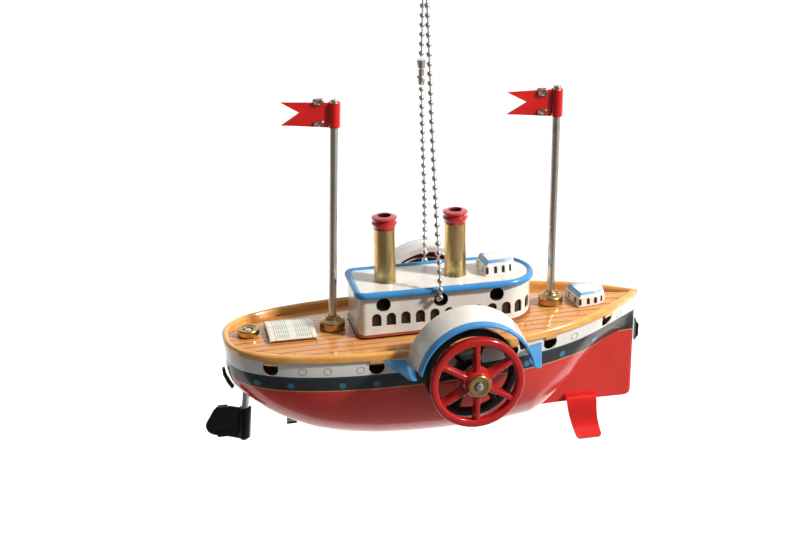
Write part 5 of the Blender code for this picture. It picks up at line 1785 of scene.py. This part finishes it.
class STEAMER_OT_paddle_boxes(bpy.types.Operator):
    """Makes the arched covers over the wheels."""

    bl_idname = "steamer.paddle_boxes"
    bl_label = "Paddle boxes"

    def execute(self, context):
        make_paddle_boxes()
        return {"FINISHED"}


class STEAMER_OT_brackets(bpy.types.Operator):
    """Makes the four blue brackets."""

    bl_idname = "steamer.brackets"
    bl_label = "Brackets"

    def execute(self, context):
        make_brackets()
        return {"FINISHED"}


class STEAMER_OT_wheels(bpy.types.Operator):
    """Makes the four wheels, their washers and the axle."""

    bl_idname = "steamer.wheels"
    bl_label = "Wheels"

    def execute(self, context):
        make_wheels()
        return {"FINISHED"}


class STEAMER_OT_skylight(bpy.types.Operator):
    """Makes the printed plate on the after deck."""

    bl_idname = "steamer.skylight"
    bl_label = "Skylight"

    def execute(self, context):
        make_plate()
        return {"FINISHED"}


class STEAMER_OT_rudder(bpy.types.Operator):
    """Makes the rudder, its rod and the eyelet on deck."""

    bl_idname = "steamer.rudder"
    bl_label = "Rudder"

    def execute(self, context):
        make_rudder()
        return {"FINISHED"}


class STEAMER_OT_foot(bpy.types.Operator):
    """Makes the strap that the ship stands on."""

    bl_idname = "steamer.foot"
    bl_label = "Foot strap"

    def execute(self, context):
        make_foot()
        return {"FINISHED"}


class STEAMER_OT_clips(bpy.types.Operator):
    """Paints the crimp tabs of the hull."""

    bl_idname = "steamer.clips"
    bl_label = "Crimp tabs"

    def execute(self, context):
        make_clips()
        return {"FINISHED"}


OPERATORS = (
    STEAMER_OT_stage, STEAMER_OT_ball_chain, STEAMER_OT_hull, STEAMER_OT_deck, STEAMER_OT_cabin,
    STEAMER_OT_roof, STEAMER_OT_houses, STEAMER_OT_funnels, STEAMER_OT_masts, STEAMER_OT_flags,
    STEAMER_OT_paddle_boxes, STEAMER_OT_brackets, STEAMER_OT_wheels, STEAMER_OT_skylight,
    STEAMER_OT_rudder, STEAMER_OT_foot, STEAMER_OT_clips,
)


class STEAMER_PT_panel(bpy.types.Panel):
    """Lists the sizes, the colours and one button for each group of pieces."""

    bl_label = "Steamer"
    bl_idname = "STEAMER_PT_panel"
    bl_space_type = "VIEW_3D"
    bl_region_type = "UI"
    bl_category = "Steamer"

    def draw(self, context):
        layout = self.layout
        for group in (context.scene.steamer_sizes, context.scene.steamer_colours):
            box = layout.box()
            for name in group.bl_rna.properties.keys():
                if name not in ("rna_type", "name"):
                    box.prop(group, name)
        for kind in OPERATORS:
            layout.operator(kind.bl_idname)


CLASSES = (SteamerSizes, SteamerColours, STEAMER_PT_panel) + OPERATORS


def register():
    for kind in CLASSES:
        bpy.utils.register_class(kind)
    bpy.types.Scene.steamer_sizes = PointerProperty(type=SteamerSizes)
    bpy.types.Scene.steamer_colours = PointerProperty(type=SteamerColours)


def unregister():
    del bpy.types.Scene.steamer_colours
    del bpy.types.Scene.steamer_sizes
    for kind in reversed(CLASSES):
        bpy.utils.unregister_class(kind)


def main():
    """Makes every piece."""
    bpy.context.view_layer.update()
    register()
    for kind in OPERATORS:
        getattr(bpy.ops.steamer, kind.bl_idname.split(".")[1])()


if __name__ == "__main__":
    main()
